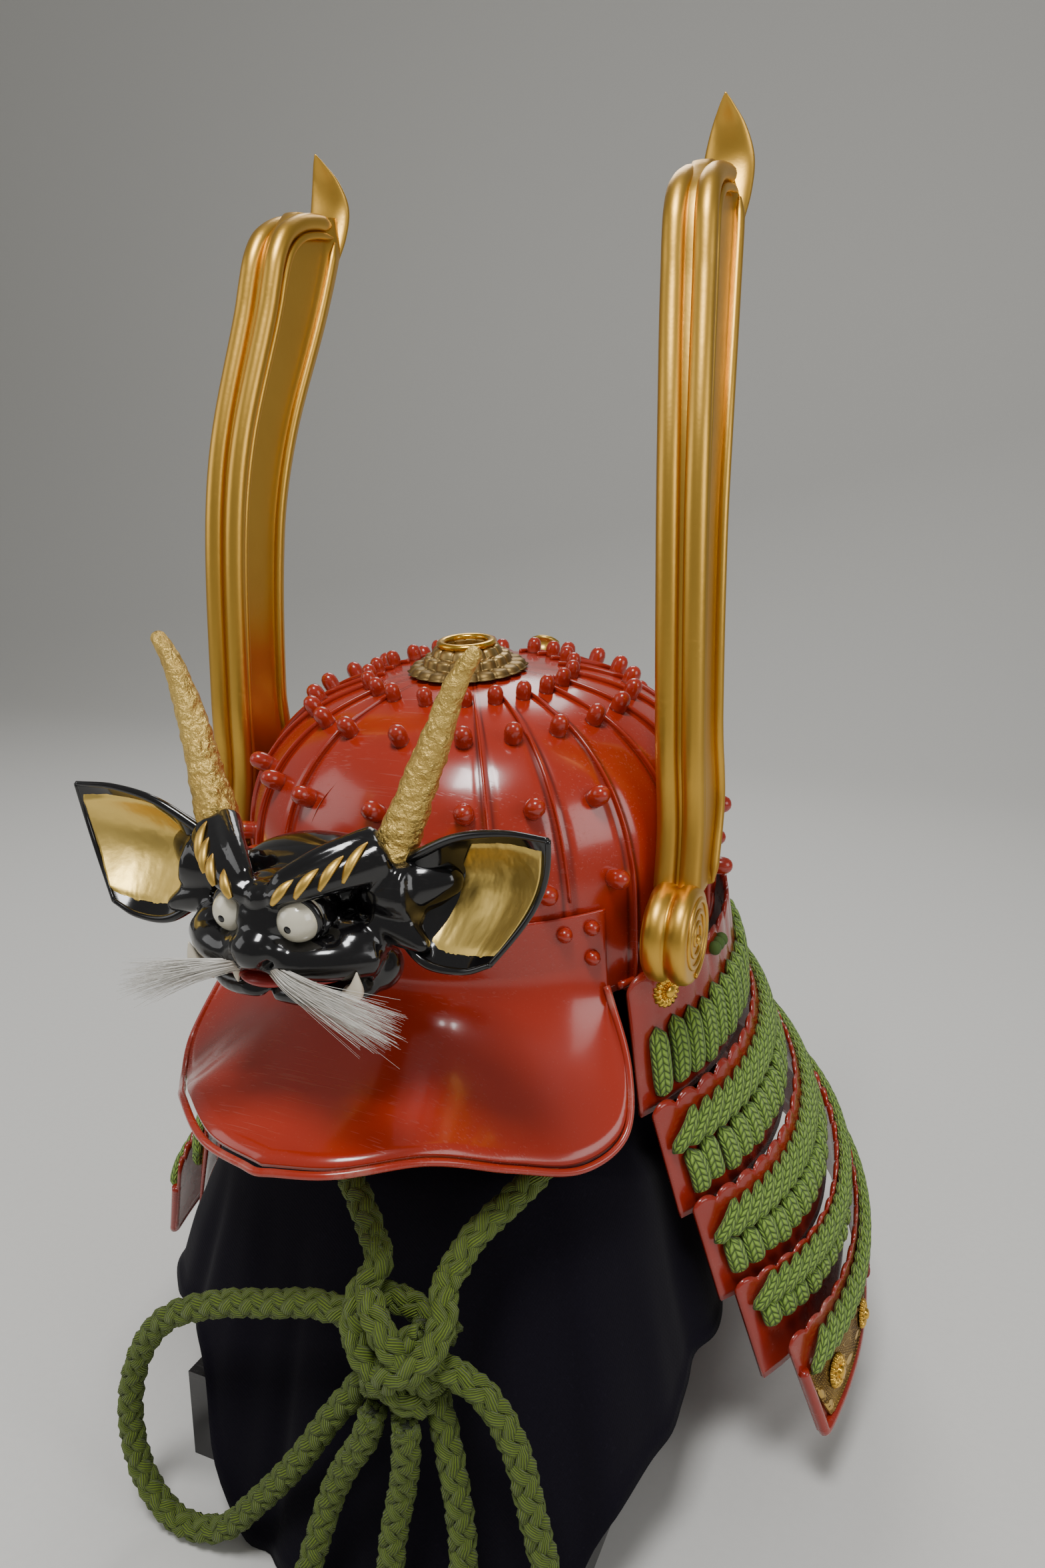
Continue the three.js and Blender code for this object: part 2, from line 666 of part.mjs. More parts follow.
// One half of the crest's section: two beads in front, a sunk web and a bead behind.
const CREST_SECTION = [
  { along: 0.05, side: 0.08 },
  { along: 0.0, side: 0.5 },
  { along: 0.07, side: 1.0 },
  { along: 0.2, side: 0.96 },
  { along: 0.26, side: 0.62 },
  { along: 0.8, side: 0.62 },
  { along: 0.86, side: 0.98 },
  { along: 0.95, side: 0.94 },
  { along: 1.0, side: 0.45 },
];

const BOSS_PLACE = { out: 108, front: -54, height: 23 };
const CREST_TIP = { out: 91.9, front: 69.3, height: 328.4 };

function crestRing(side, row) {
  const ring = [];
  const half = (CREST_THICKNESS * row.wide) / 2;
  const place = (spot, hand) => point(
    side * (row.out * CREST_HEIGHT + hand * spot.side * half),
    (row.front + spot.along * row.depth) * CREST_DEPTH,
    row.rise * CREST_HEIGHT,
  );
  for (const spot of CREST_SECTION) ring.push(place(spot, 1));
  for (const spot of [...CREST_SECTION].reverse()) ring.push(place(spot, -1));
  return ring;
}

function crestTip(side) {
  const rings = [
    { rise: 0.955, front: 58, back: 84, half: 8 },
    { rise: 1.02, front: 67, back: 86, half: 6 },
    { rise: 1.05, front: 66.5, back: 77, half: 3.5 },
    { rise: CREST_TIP.height / CREST_HEIGHT, front: CREST_TIP.front - 0.6, back: CREST_TIP.front + 0.6,
      half: 0.6 },
  ];
  return loft(rings.map(({ rise, front, back, half }) => [
    point(side * (CREST_TIP.out + 3 - half), (front + back) / 2, rise * CREST_HEIGHT),
    point(side * (CREST_TIP.out + 3), front, rise * CREST_HEIGHT),
    point(side * (CREST_TIP.out + 3 + half), (front + back) / 2, rise * CREST_HEIGHT),
    point(side * (CREST_TIP.out + 3), back, rise * CREST_HEIGHT),
  ]));
}

function crestBoss(side) {
  const profile = [
    [0, -0.5], [0.9, -0.5], [1, -0.3], [0.92, 0], [0.98, 0.3], [0.82, 0.5], [0.6, 0.42], [0, 0.5],
  ].map(([radius, along]) => new THREE.Vector2(radius * BOSS_RADIUS, along * BOSS_WIDTH));
  const boss = new THREE.LatheGeometry(profile, 12);
  boss.rotateZ(-Math.PI / 2);
  if (side < 0) boss.rotateZ(Math.PI);
  boss.translate(side * BOSS_PLACE.out, BOSS_PLACE.front, BOSS_PLACE.height);
  return facingOut(tidy(boss));
}

function makeCrests() {
  const wall = bowlBody(bowlStations(), 1 + CLEARANCE / BOWL_RADIUS, 0);
  for (const { side, name } of SIDES) {
    const board = loft(CREST_ROWS.map((row) => crestRing(side, row)));
    const crest = joined([board, crestTip(side), crestBoss(side)]).subtract(wall);
    node(helmet, `side_crest_${name}`, surface(crest), FINISH.satinGold);
    const inner = BOSS_PLACE.out - BOSS_WIDTH / 2 - CLEARANCE;
    const seat = new THREE.CylinderGeometry(0.4 * BOSS_RADIUS, 0.4 * BOSS_RADIUS, 26, 8);
    seat.rotateZ(Math.PI / 2);
    seat.translate(side * (inner - 13), BOSS_PLACE.front, BOSS_PLACE.height);
    const pieces = solid(facingOut(tidy(seat))).subtract(wall).decompose();
    const outer = pieces.sort((a, b) => side * (middleX(b) - middleX(a)))[0];
    node(helmet, `crest_seat_${name}`, surface(outer), FINISH.satinGold);
  }
}

function middleX(manifold) {
  const box = manifold.boundingBox();
  return (box.min[0] + box.max[0]) / 2;
}

// Neck guard: each lame's upper and lower edge. Drops are shares of GUARD_DROP below the top edge,
// and widths, front and back reaches are shares of GUARD_HALF_WIDTH. shift moves the middle of the
// edge's plan back or forth, and front is where the lame's front end lies.
const LAME_EDGES = [
  { name: 1, edge: 'upper', drop: 0.0, wide: 0.6095, ahead: 0.6, behind: 0.64, shift: 0.02, front: -0.335 },
  { name: 1, edge: 'lower', drop: 0.3, wide: 0.652, ahead: 0.663, behind: 0.72, shift: 0.02, front: -0.365 },
  { name: 2, edge: 'upper', drop: 0.258, wide: 0.675, ahead: 0.683, behind: 0.74, shift: 0.03, front: -0.365 },
  { name: 2, edge: 'lower', drop: 0.52, wide: 0.772, ahead: 0.69, behind: 0.83, shift: 0.04, front: -0.365 },
  { name: 3, edge: 'upper', drop: 0.464, wide: 0.79, ahead: 0.7, behind: 0.85, shift: 0.04, front: -0.365 },
  { name: 3, edge: 'lower', drop: 0.705, wide: 0.89, ahead: 0.69, behind: 0.91, shift: 0.04, front: -0.365 },
  { name: 4, edge: 'upper', drop: 0.641, wide: 0.912, ahead: 0.7, behind: 0.935, shift: 0.04, front: -0.365 },
  { name: 4, edge: 'lower', drop: 0.88, wide: 0.945, ahead: 0.79, behind: 0.985, shift: 0.02, front: -0.365 },
  { name: 5, edge: 'upper', drop: 0.752, wide: 0.973, ahead: 0.86, behind: 1.015, shift: 0.02, front: -0.365 },
  { name: 5, edge: 'lower', drop: 1.0, wide: 1.0, ahead: 1.15, behind: 1.12, shift: -0.02, front: -0.348 },
];

function lameEdge(name, edge) {
  return LAME_EDGES.find((row) => row.name === name && row.edge === edge);
}

// u runs from the wearer's left front end (0) round the back to the right front end (1).
function edgePoint(row, u, lift) {
  const size = (share) => share * GUARD_HALF_WIDTH;
  const start = -Math.asin((row.shift - row.front) / row.ahead);
  const turn = lerp(start, Math.PI - start, u);
  const reach = Math.sin(turn) < 0 ? size(row.ahead) : size(row.behind);
  return point(
    (size(row.wide) + lift) * Math.cos(turn),
    size(row.shift) + (reach + lift) * Math.sin(turn),
    GUARD_TOP - row.drop * GUARD_DROP,
  );
}

// v runs from the upper edge (0) to the lower edge (1).
function lamePoint(name, u, v, lift) {
  const upper = edgePoint(lameEdge(name, 'upper'), u, lift);
  const lower = edgePoint(lameEdge(name, 'lower'), u, lift);
  return upper.lerp(lower, v);
}

function lameGrid(name, stations, levels, lift) {
  return levels.map((v) => stations.map((u) => lamePoint(name, u, v, lift)));
}

const STATIONS = spread(GUARD_STATIONS, 0, 1);
const LIP_GAP = { 2: 1.0, 3: 1.0, 4: 1.0, 5: 1.9 };

// A lame's upper edge is turned in until it lies close on the lame above.
function lipRow(name) {
  const above = lameEdge(name - 1, 'upper');
  const below = lameEdge(name - 1, 'lower');
  const v = (lameEdge(name, 'upper').drop - above.drop) / (below.drop - above.drop);
  return STATIONS.map((u) => lamePoint(name - 1, u, v, LIP_GAP[name]));
}

function makeLames() {
  for (let name = 1; name <= 5; name += 1) {
    const front = lameGrid(name, STATIONS, [0, 1], 0);
    const back = lameGrid(name, STATIONS, [0, 1], -LAME_WALL);
    if (name > 1) {
      for (const at of back[0]) at.z -= LAME_WALL;
      front.unshift(lipRow(name));
      back.unshift(lipRow(name));
      for (const at of back[0]) at.z -= LAME_WALL;
    }
    const plate = wallBetween(front, back);
    node(helmet, `neck_plate_${name}`, plate, FINISH.vermilion);
  }
}

// Lacing: each band lies on one lame between two levels, and is fullest in its middle.
const LACING = [
  { node: 'lacing_loops_1', lame: 1, top: 0.42, foot: 0.83, gap: 0.5, finish: 'greenLace', full: 1.0 },
  { node: 'lacing_slant_2', lame: 2, top: 0.14, foot: 0.34, gap: 0.5, finish: 'greenLace', full: 1.0 },
  { node: 'lacing_loops_2', lame: 2, top: 0.4, foot: 0.76, gap: 0.5, finish: 'greenLace', full: 1.0 },
  { node: 'lacing_slant_3', lame: 3, top: 0.15, foot: 0.36, gap: 0.5, finish: 'greenLace', full: 1.0 },
  { node: 'lacing_loops_3', lame: 3, top: 0.4, foot: 0.71, gap: 0.5, finish: 'greenLace', full: 1.0 },
  { node: 'lacing_slant_4', lame: 4, top: 0.06, foot: 0.22, gap: 1.2, finish: 'greenLace', full: 0.9 },
  { node: 'lacing_loops_4', lame: 4, top: 0.25, foot: 0.44, gap: 1.2, finish: 'greenLace', full: 0.8 },
  { node: 'lacing_slant_5', lame: 5, top: 0.16, foot: 0.36, gap: 1.5, finish: 'greenLace', full: 1.0 },
  { node: 'lacing_mixed', lame: 5, top: 0.44, foot: 0.6, gap: 1.3, finish: 'mixedBraid', full: 0.6 },
  { node: 'lacing_red', lame: 5, top: 0.66, foot: 0.92, gap: 0.9, finish: 'redBraid', full: 0.8 },
];

const CORNER_GAP = 2.4;

function makeLacing() {
  for (const band of LACING) {
    const margin = band.lame === 5 && band.node !== 'lacing_slant_5' ? 4 : 1;
    const stations = STATIONS.slice(margin, GUARD_STATIONS - margin);
    const row = (v, lift) => stations.map((u) => lamePoint(band.lame, u, v, lift));
    const full = band.gap + band.full * LACE_THICKNESS;
    const outer = [row(lerp(band.top, band.foot, 0.2), full), row(lerp(band.top, band.foot, 0.8), full)];
    const inner = [row(band.top, band.gap), row(band.foot, band.gap)];
    node(helmet, band.node, wallBetween(outer, inner), FINISH[band.finish]);
  }
}

// Gilt corner plates on the lowest lame and the round studs.
const CORNER_LEVELS = [
  { v: 0.42, from: 0.005, to: 0.055 },
  { v: 0.7, from: 0.008, to: 0.1 },
  { v: 0.94, from: 0.012, to: 0.13 },
];

function cornerPlate(side) {
  const grid = (lift) => CORNER_LEVELS.map(({ v, from, to }) => spread(4, from, to).map(
    (u) => lamePoint(5, side > 0 ? u : 1 - u, v, lift),
  ));
  return wallBetween(grid(CORNER_GAP + 1.4), grid(CORNER_GAP));
}

const STUDS = [
  { node: 'corner_stud_low', lame: 5, u: 0.03, v: 0.66, lift: 4.2, radius: 7 },
  { node: 'corner_stud_high', lame: 5, u: 0.085, v: 0.8, lift: 4.2, radius: 6.5 },
  { node: 'front_stud', lame: 1, u: 0.04, v: 0.2, lift: 0.5, radius: 7 },
];

function studOn({ lame, u, v, lift, radius }, side) {
  const at = (du, dv) => lamePoint(lame, side > 0 ? u + du : 1 - u - du, v + dv, lift);
  const across = at(0.01, 0).sub(at(-0.01, 0));
  const upward = at(0, -0.05).sub(at(0, 0.05));
  const normal = across.cross(upward).normalize();
  const centre = at(0, 0);
  if (normal.dot(point(centre.x, centre.y, 0)) < 0) normal.negate();
  const stud = new THREE.LatheGeometry([
    [0, 0], [1, 0], [0.9, 0.5], [0.4, 0.6], [0, 1],
  ].map(([r, h]) => new THREE.Vector2(r * radius, h * 4.2)), 9);
  stud.rotateX(Math.PI / 2);
  stud.applyQuaternion(new THREE.Quaternion().setFromUnitVectors(point(0, 0, 1), normal));
  stud.translate(centre.x, centre.y, centre.z);
  return facingOut(tidy(stud));
}

function makeGilding() {
  for (const { side, name } of SIDES) {
    node(helmet, `corner_plate_${name}`, cornerPlate(side), FINISH.antiqueGold);
    for (const stud of STUDS) node(helmet, `${stud.node}_${name}`, studOn(stud, side), FINISH.brightGold);
    const tie = ball(point(0, 0, 0), { x: 7, y: 3, z: 4.2 }, 6, 4);
    const at = lamePoint(1, side > 0 ? 0.12 : 0.88, 0.14, 2.9);
    tie.rotateZ(Math.atan2(at.y, at.x) + Math.PI / 2);
    tie.translate(at.x, at.y, at.z);
    node(helmet, `front_tie_${name}`, facingOut(tidy(tie)), FINISH.greenLace);
  }
}

// Chin cord: routes in the stand's own upright frame, chosen by hand.
const STRAP_LEFT = [
  [88.6, -40, 252], [81.5, -37, 251], [76, -39, 243], [75, -48, 232], [75, -62, 220], [76, -84, 203], [74, -106, 186],
  [65, -122, 176], [59, -136, 171], [54, -149, 161],
];
const STRAP_RIGHT = [
  [-88.6, -40, 252], [-81.5, -37, 251], [-76, -39, 243], [-74, -48, 232], [-69, -64, 218], [-50, -92, 199], [-22, -113, 184],
  [1, -127, 174], [15, -139, 169], [27, -149, 161],
];
const LOOP_RIGHT = [
  [26, -160, 143], [4, -158, 141], [-16, -157, 134], [-44, -156, 124], [-72, -155, 107],
  [-90, -154, 80], [-97, -154, 46], [-90, -155, 20], [-74, -156, 7.5], [-52, -156, 12],
  [-30, -156, 36], [-8, -157, 66], [8, -157, 92], [19, -156, 108], [25, -155, 119],
];
const LOOP_LEFT = [
  [50, -161, 137], [72, -158, 126], [84, -158, 108], [91, -159, 84], [98, -160, 56],
  [102, -163, 28], [97, -169, 9], [84, -174, 5.9], [72, -170, 12], [66, -164, 34],
  [64, -160, 62], [60, -159, 90], [55, -156, 106], [51, -155, 118],
];
const TAIL_RIGHT = [
  [33, -168, 113], [28, -166, 98], [18, -163, 80], [9, -161, 60], [2, -163, 36], [-3, -168, 16], [-6, -178, 6.4],
  [-8, -192, 5.9], [-9, -204, 5.9],
];
const TAIL_LEFT = [
  [46.5, -168, 112], [45, -166, 97], [41.5, -163, 79], [37, -163, 56], [35, -165, 32], [33, -170, 14], [32, -181, 6.2],
  [32, -194, 5.9], [33, -206, 5.9],
];
const KNOT_WRAPS = [
  [[28, -152, 160], [23, -158, 151], [25, -165, 140], [35, -168, 130], [46, -166, 121], [49.6, -159, 115]],
  [[53, -151, 159], [57, -159, 151], [54, -166.5, 141], [43, -171, 134], [33, -166.5, 125], [29, -158, 115]],
  [[25, -150, 147], [40, -149, 145], [57, -151.5, 139]],
  [[45, -151, 121], [41, -160, 110], [44, -163, 117]],
];

function route(points) {
  return points.map(([x, y, z]) => point(x, y, z));
}

const CORDS = [
  { node: 'chin_strap_left', points: STRAP_LEFT, steps: 8 },
  { node: 'chin_strap_right', points: STRAP_RIGHT, steps: 9 },
  { node: 'bow_loop_right', points: LOOP_RIGHT, steps: 21 },
  { node: 'bow_loop_left', points: LOOP_LEFT, steps: 18 },
  { node: 'cord_tail_right', points: TAIL_RIGHT, steps: 9 },
  { node: 'cord_tail_left', points: TAIL_LEFT, steps: 9 },
];

function makeCords() {
  const knot = joined(KNOT_WRAPS.map((points) => cordAlong(route(points), 5)));
  node(model, 'chin_knot', surface(knot), FINISH.greenCord);
  const room = joined(KNOT_WRAPS.map((points) => cordAlong(route(points), 5, CLEARANCE)));
  for (const { node: name, points, steps } of CORDS) {
    const cord = solid(cordAlong(route(points), steps)).subtract(room);
    const longest = cord.decompose().sort((a, b) => b.volume() - a.volume())[0];
    node(model, name, surface(longest), FINISH.greenCord);
  }
}

// Stand: a low black base, a cushion, a post and a round pad under the crown.
function makeStand() {
  const base = new THREE.BoxGeometry(BASE_WIDTH, BASE_DEPTH, BASE_HEIGHT);
  base.translate(0, 0, BASE_HEIGHT / 2);
  node(model, 'stand_base', tidy(base), FINISH.standBlack);

  const cushion = new THREE.SphereGeometry(1, 16, 8);
  const at = cushion.attributes.position;
  for (let i = 0; i < at.count; i += 1) {
    const rise = at.getY(i);
    const flat = Math.sign(rise) * Math.abs(rise) ** 0.8;
    at.setY(i, clamp(flat, -0.82, 1));
  }
  const tall = (CUSHION_TOP - BASE_HEIGHT - CLEARANCE) / 1.82;
  cushion.rotateX(Math.PI / 2);
  cushion.scale(CUSHION_WIDTH / 2, CUSHION_DEPTH / 2, tall);
  cushion.translate(0, 0, BASE_HEIGHT + CLEARANCE + 0.82 * tall);
  node(model, 'stand_cushion', facingOut(tidy(cushion)), FINISH.padBlack);

  const padTop = CLOTH_TOP - 2 * CLOTH_WALL;
  const foot = CUSHION_TOP + CLEARANCE;
  const postTop = padTop - PAD_HEIGHT - CLEARANCE;
  const post = new THREE.CylinderGeometry(POST_RADIUS, POST_RADIUS, postTop - foot, 12);
  post.rotateX(Math.PI / 2);
  post.translate(0, POST_SHIFT, (postTop + foot) / 2);
  node(model, 'stand_post', facingOut(tidy(post)), FINISH.standBlack);

  const pad = new THREE.LatheGeometry([
    [0, 0], [0.9, 0], [1, 0.4], [0.88, 0.78], [0.55, 0.95], [0, 1],
  ].map(([r, h]) => new THREE.Vector2(r * PAD_RADIUS, h * PAD_HEIGHT)), 14);
  pad.rotateX(Math.PI / 2);
  pad.translate(0, POST_SHIFT, padTop - PAD_HEIGHT);
  node(model, 'stand_pad', facingOut(tidy(pad)), FINISH.padBlack);
}

// Cloth: radii and heights of its shoulder and hem round the stand; 0 is the front.
const CLOTH_DRAPE = [
  { angle: -180, shoulder: 132, level: 128, hem: 138, foot: 58 },
  { angle: -135, shoulder: 136, level: 130, hem: 140, foot: 62 },
  { angle: -90, shoulder: 112, level: 140, hem: 122, foot: 74 },
  { angle: -70, shoulder: 108, level: 148, hem: 128, foot: 80 },
  { angle: -56, shoulder: 118, level: 156, hem: 140, foot: 84 },
  { angle: -42, shoulder: 124, level: 160, hem: 148, foot: 82 },
  { angle: -30, shoulder: 122, level: 164, hem: 152, foot: 76 },
  { angle: -19, shoulder: 118, level: 166, hem: 156, foot: 8 },
  { angle: -8, shoulder: 114, level: 166, hem: 154, foot: 2 },
  { angle: 8, shoulder: 112, level: 166, hem: 152, foot: 2 },
  { angle: 22, shoulder: 116, level: 170, hem: 158, foot: 2 },
  { angle: 34, shoulder: 118, level: 172, hem: 162, foot: 10 },
  { angle: 42, shoulder: 120, level: 172, hem: 160, foot: 48 },
  { angle: 56, shoulder: 118, level: 162, hem: 146, foot: 66 },
  { angle: 70, shoulder: 108, level: 150, hem: 132, foot: 76 },
  { angle: 90, shoulder: 112, level: 142, hem: 122, foot: 72 },
  { angle: 135, shoulder: 136, level: 130, hem: 140, foot: 60 },
  { angle: 180, shoulder: 132, level: 128, hem: 138, foot: 58 },
];

const CLOTH_CROWN = [
  { radius: 0, height: CLOTH_TOP },
  { radius: 0.65, height: CLOTH_TOP - 3.4 },
  { radius: 1.0, height: CLOTH_TOP - 10 },
  { radius: 1.12, height: CLOTH_TOP - 28 },
  { radius: 0.98, height: CLOTH_TOP - 110 },
  { radius: 1.35, height: CLOTH_TOP - 160 },
];

function clothGrid(angles, inset) {
  const rows = CLOTH_CROWN.map(({ radius, height }) => angles.map((angle) => {
    const turn = radians(angle);
    const flutes = 1 + 0.05 * Math.cos(6 * turn) * Math.min(1, radius);
    const reach = Math.max(0, radius * CLOTH_CROWN_RADIUS * flutes - (radius > 0 ? inset : 0));
    const drop = radius < 1.05 ? inset : 0;
    return point(reach * Math.sin(turn), POST_SHIFT - reach * Math.cos(turn), height - drop);
  }));
  const skirt = (level, blend) => rows.push(angles.map((angle) => {
    const at = (column) => fromTable(CLOTH_DRAPE, 'angle', angle, column);
    const turn = radians(angle);
    const waves = 2.5 * Math.cos(9 * turn + 0.6) * blend;
    const shoulder = at('shoulder') - inset;
    const top = at('level') - inset * (1 - blend);
    const radius = level < 0 ? lerp(1.35 * CLOTH_CROWN_RADIUS, shoulder, -level) : lerp(shoulder, at('hem') - inset,
      level) + waves;
    const height = level < 0 ? lerp(CLOTH_TOP - 160, top, (-level) ** 1.3) + 6 * Math.sin(-level * Math.PI)
      : lerp(top, at('foot'), level);
    const shift = level < 0 ? POST_SHIFT * (1 + level) : 0;
    return point(radius * Math.sin(turn), shift - radius * Math.cos(turn), height);
  }));
  skirt(-0.5, 0);
  skirt(-0.9, 0);
  skirt(0.06, 0.1);
  skirt(0.5, 0.8);
  skirt(1, 1);
  return rows;
}

function makeCloth() {
  const angles = spread(29, -180, 180).slice(0, -1);
  const cloth = wallBetween(clothGrid(angles, 0), clothGrid(angles, CLOTH_WALL), { round: true });
  node(model, 'stand_cloth', cloth, FINISH.purpleCloth);
}

makeBowl();
makeCrown();
makeVisor();
makeMask();
makeCrests();
makeLames();
makeLacing();
makeGilding();
makeCords();
makeStand();
makeCloth();

export default model;
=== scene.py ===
"""Samurai helmet on a draped stand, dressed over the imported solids.

The frame is the solids' own: metres, +Z up, and the helmet faces -Y. The helmet is drawn upright
round its rim's centre and then tilted nose down onto the stand, as the solids are.
"""

import logging
import random
from collections.abc import Callable, Sequence
from dataclasses import dataclass
from enum import Enum
from math import asin, atan2, copysign, cos, degrees, exp, pi, radians, sin, sqrt, tau

import bmesh
import bpy
from mathutils import Matrix, Vector, noise


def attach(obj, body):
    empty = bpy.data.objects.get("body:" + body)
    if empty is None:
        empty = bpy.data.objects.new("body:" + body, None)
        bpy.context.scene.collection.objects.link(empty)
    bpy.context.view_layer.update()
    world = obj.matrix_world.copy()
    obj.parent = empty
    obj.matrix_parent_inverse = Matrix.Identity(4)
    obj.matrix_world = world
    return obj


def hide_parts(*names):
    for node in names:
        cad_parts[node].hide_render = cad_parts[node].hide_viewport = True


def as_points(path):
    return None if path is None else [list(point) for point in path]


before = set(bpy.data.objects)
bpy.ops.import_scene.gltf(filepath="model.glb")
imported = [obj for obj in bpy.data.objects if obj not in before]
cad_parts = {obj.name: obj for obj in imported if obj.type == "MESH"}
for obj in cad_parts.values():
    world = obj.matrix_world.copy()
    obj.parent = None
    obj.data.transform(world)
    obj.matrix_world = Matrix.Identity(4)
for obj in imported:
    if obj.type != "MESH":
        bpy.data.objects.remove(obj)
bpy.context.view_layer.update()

LOG = logging.getLogger("helmet")
MM = 0.001
HELMET_TILT = 7.5
RIM_HEIGHT = 250.0
HELMET_PLACE = Matrix.Translation((0.0, 0.0, RIM_HEIGHT * MM)) @ Matrix.Rotation(
    radians(HELMET_TILT), 4, "X"
)
SIDES = ((1.0, "left"), (-1.0, "right"))

Place = Callable[[float, float], Vector]
Point = tuple[float, float, float]
Colour = tuple[float, float, float]
Rows = tuple[tuple[float, ...], ...]
Piece = bpy.types.Object
Vert = bmesh.types.BMVert
Socket = bpy.types.NodeSocket


def spot(x: float, y: float, z: float) -> Vector:
    """Return a point of the stand's frame, given in millimetres."""
    return Vector((x, y, z)) * MM


def worn(x: float, y: float, z: float) -> Vector:
    """Return a point of the upright helmet, in millimetres, where the tilt puts it."""
    return HELMET_PLACE @ spot(x, y, z)


def faced(x: float, y: float, z: float) -> Vector:
    """Return a direction of the upright helmet, as the tilt turns it."""
    return (HELMET_PLACE.to_3x3() @ Vector((x, y, z))).normalized()


def seated(foot: Vector, out: Vector) -> Matrix:
    """Return the place of something that stands on a foot and points out."""
    return Matrix.Translation(foot) @ out.to_track_quat("Z", "Y").to_matrix().to_4x4()


def title_of(name: str) -> str:
    """Return a node's name as a title."""
    return name.replace("_", " ").title()


def sided(side: float, share: float) -> float:
    """Return a share round the helmet, counted from the wearer's left or else from the right."""
    return share if side > 0 else 1 - share


def mix(low: float, high: float, share: float) -> float:
    """Return the value that lies at a share of the way from low to high."""
    return low + (high - low) * share


def ease(share: float) -> float:
    """Return a share, held between 0 and 1, with a smooth start and end."""
    held = min(1.0, max(0.0, share))
    return held * held * (3.0 - 2.0 * held)


def table(rows: Sequence[tuple[float, ...]], key: float, column: int) -> float:
    """Read a table smoothly between its rows.

    Args:
        rows: The table's rows; the first column rises.
        key: The value of the first column to read at.
        column: The column to read.

    Returns:
        The column's value there, on a smooth curve through the rows.
    """
    last = len(rows) - 1
    if key <= rows[0][0]:
        return rows[0][column]
    if key >= rows[last][0]:
        return rows[last][column]
    i = next(n for n in range(1, last + 1) if rows[n][0] >= key)
    low, high = rows[i - 1], rows[i]
    width = high[0] - low[0]
    share = (key - low[0]) / width
    before = rows[max(0, i - 2)]
    after = rows[min(last, i + 1)]
    leave = (high[column] - before[column]) / (high[0] - before[0]) * width
    reach = (after[column] - low[column]) / (after[0] - low[0]) * width
    s2, s3 = share * share, share**3
    return (
        (2 * s3 - 3 * s2 + 1) * low[column]
        + (s3 - 2 * s2 + share) * leave
        + (-2 * s3 + 3 * s2) * high[column]
        + (s3 - s2) * reach
    )


@dataclass
class Stop:
    """One station on a line: its place and three directions square to each other."""

    place: Vector
    along: Vector
    side: Vector
    up: Vector


class Line:
    """A smooth line through given points, with a frame that doesn't twist."""

    def __init__(self, points: Sequence[Vector], fine: int = 16) -> None:
        """Keep the points and the finely stepped curve through them.

        Args:
            points: The points, from end to end.
            fine: Fine steps between two points.
        """
        self.points = [Vector(p) for p in points]
        self.fine = self._curve(fine)
        self.reach = [0.0]
        for a, b in zip(self.fine, self.fine[1:]):
            self.reach.append(self.reach[-1] + (b - a).length)

    def _curve(self, fine: int) -> list[Vector]:
        """Return the points of a centripetal curve through the given ones.

        Args:
            fine: Fine steps between two points.

        Returns:
            The fine points.
        """
        points = self.points
        padded = [2 * points[0] - points[1], *points, 2 * points[-1] - points[-2]]
        found: list[Vector] = []
        for i in range(1, len(padded) - 2):
            p0, p1, p2, p3 = padded[i - 1 : i + 3]
            d1, d2, d3 = (max(1e-9, (b - a).length ** 0.5) for a, b in ((p0, p1), (p1, p2), (p2, p3)))
            m1 = (p2 - p1) / d2 + (p1 - p0) / d1 - (p2 - p0) / (d1 + d2)
            m2 = (p2 - p1) / d2 + (p3 - p2) / d3 - (p3 - p1) / (d2 + d3)
            for step in range(fine):
                t = step / fine
                t2, t3 = t * t, t**3
                found.append(
                    (2 * t3 - 3 * t2 + 1) * p1
                    + (t3 - 2 * t2 + t) * d2 * m1
                    + (-2 * t3 + 3 * t2) * p2
                    + (t3 - t2) * d2 * m2
                )
        found.append(points[-1].copy())
        return found

    @property
    def length(self) -> float:
        """Return the length of the line."""
        return self.reach[-1]

    def at(self, share: float) -> Vector:
        """Return the point at a share of the line's length.

        Args:
            share: Share of the length.

        Returns:
            The point.
        """
        goal = share * self.length
        low, high = 0, len(self.reach) - 1
        while high - low > 1:
            middle = (low + high) // 2
            if self.reach[middle] <= goal:
                low = middle
            else:
                high = middle
        span = max(1e-12, self.reach[high] - self.reach[low])
        return self.fine[low].lerp(self.fine[high], (goal - self.reach[low]) / span)

    def stops(self, steps: int, up: Vector | None = None) -> list[Stop]:
        """Return evenly spaced stations along the line.

        Args:
            steps: How many steps there are from end to end.
            up: The direction that the frame's up starts nearest to.

        Returns:
            One more station than there are steps.
        """
        places = [self.at(i / steps) for i in range(steps + 1)]
        found: list[Stop] = []
        lift = Vector(up) if up else Vector((0.13, 0.2, 1.0))
        for i, place in enumerate(places):
            ahead, behind = places[min(steps, i + 1)], places[max(0, i - 1)]
            along = (ahead - behind).normalized()
            lift = lift - along * lift.dot(along)
            if lift.length < 1e-6:
                lift = along.orthogonal()
            lift.normalize()
            found.append(Stop(place, along, along.cross(lift), lift.copy()))
        return found


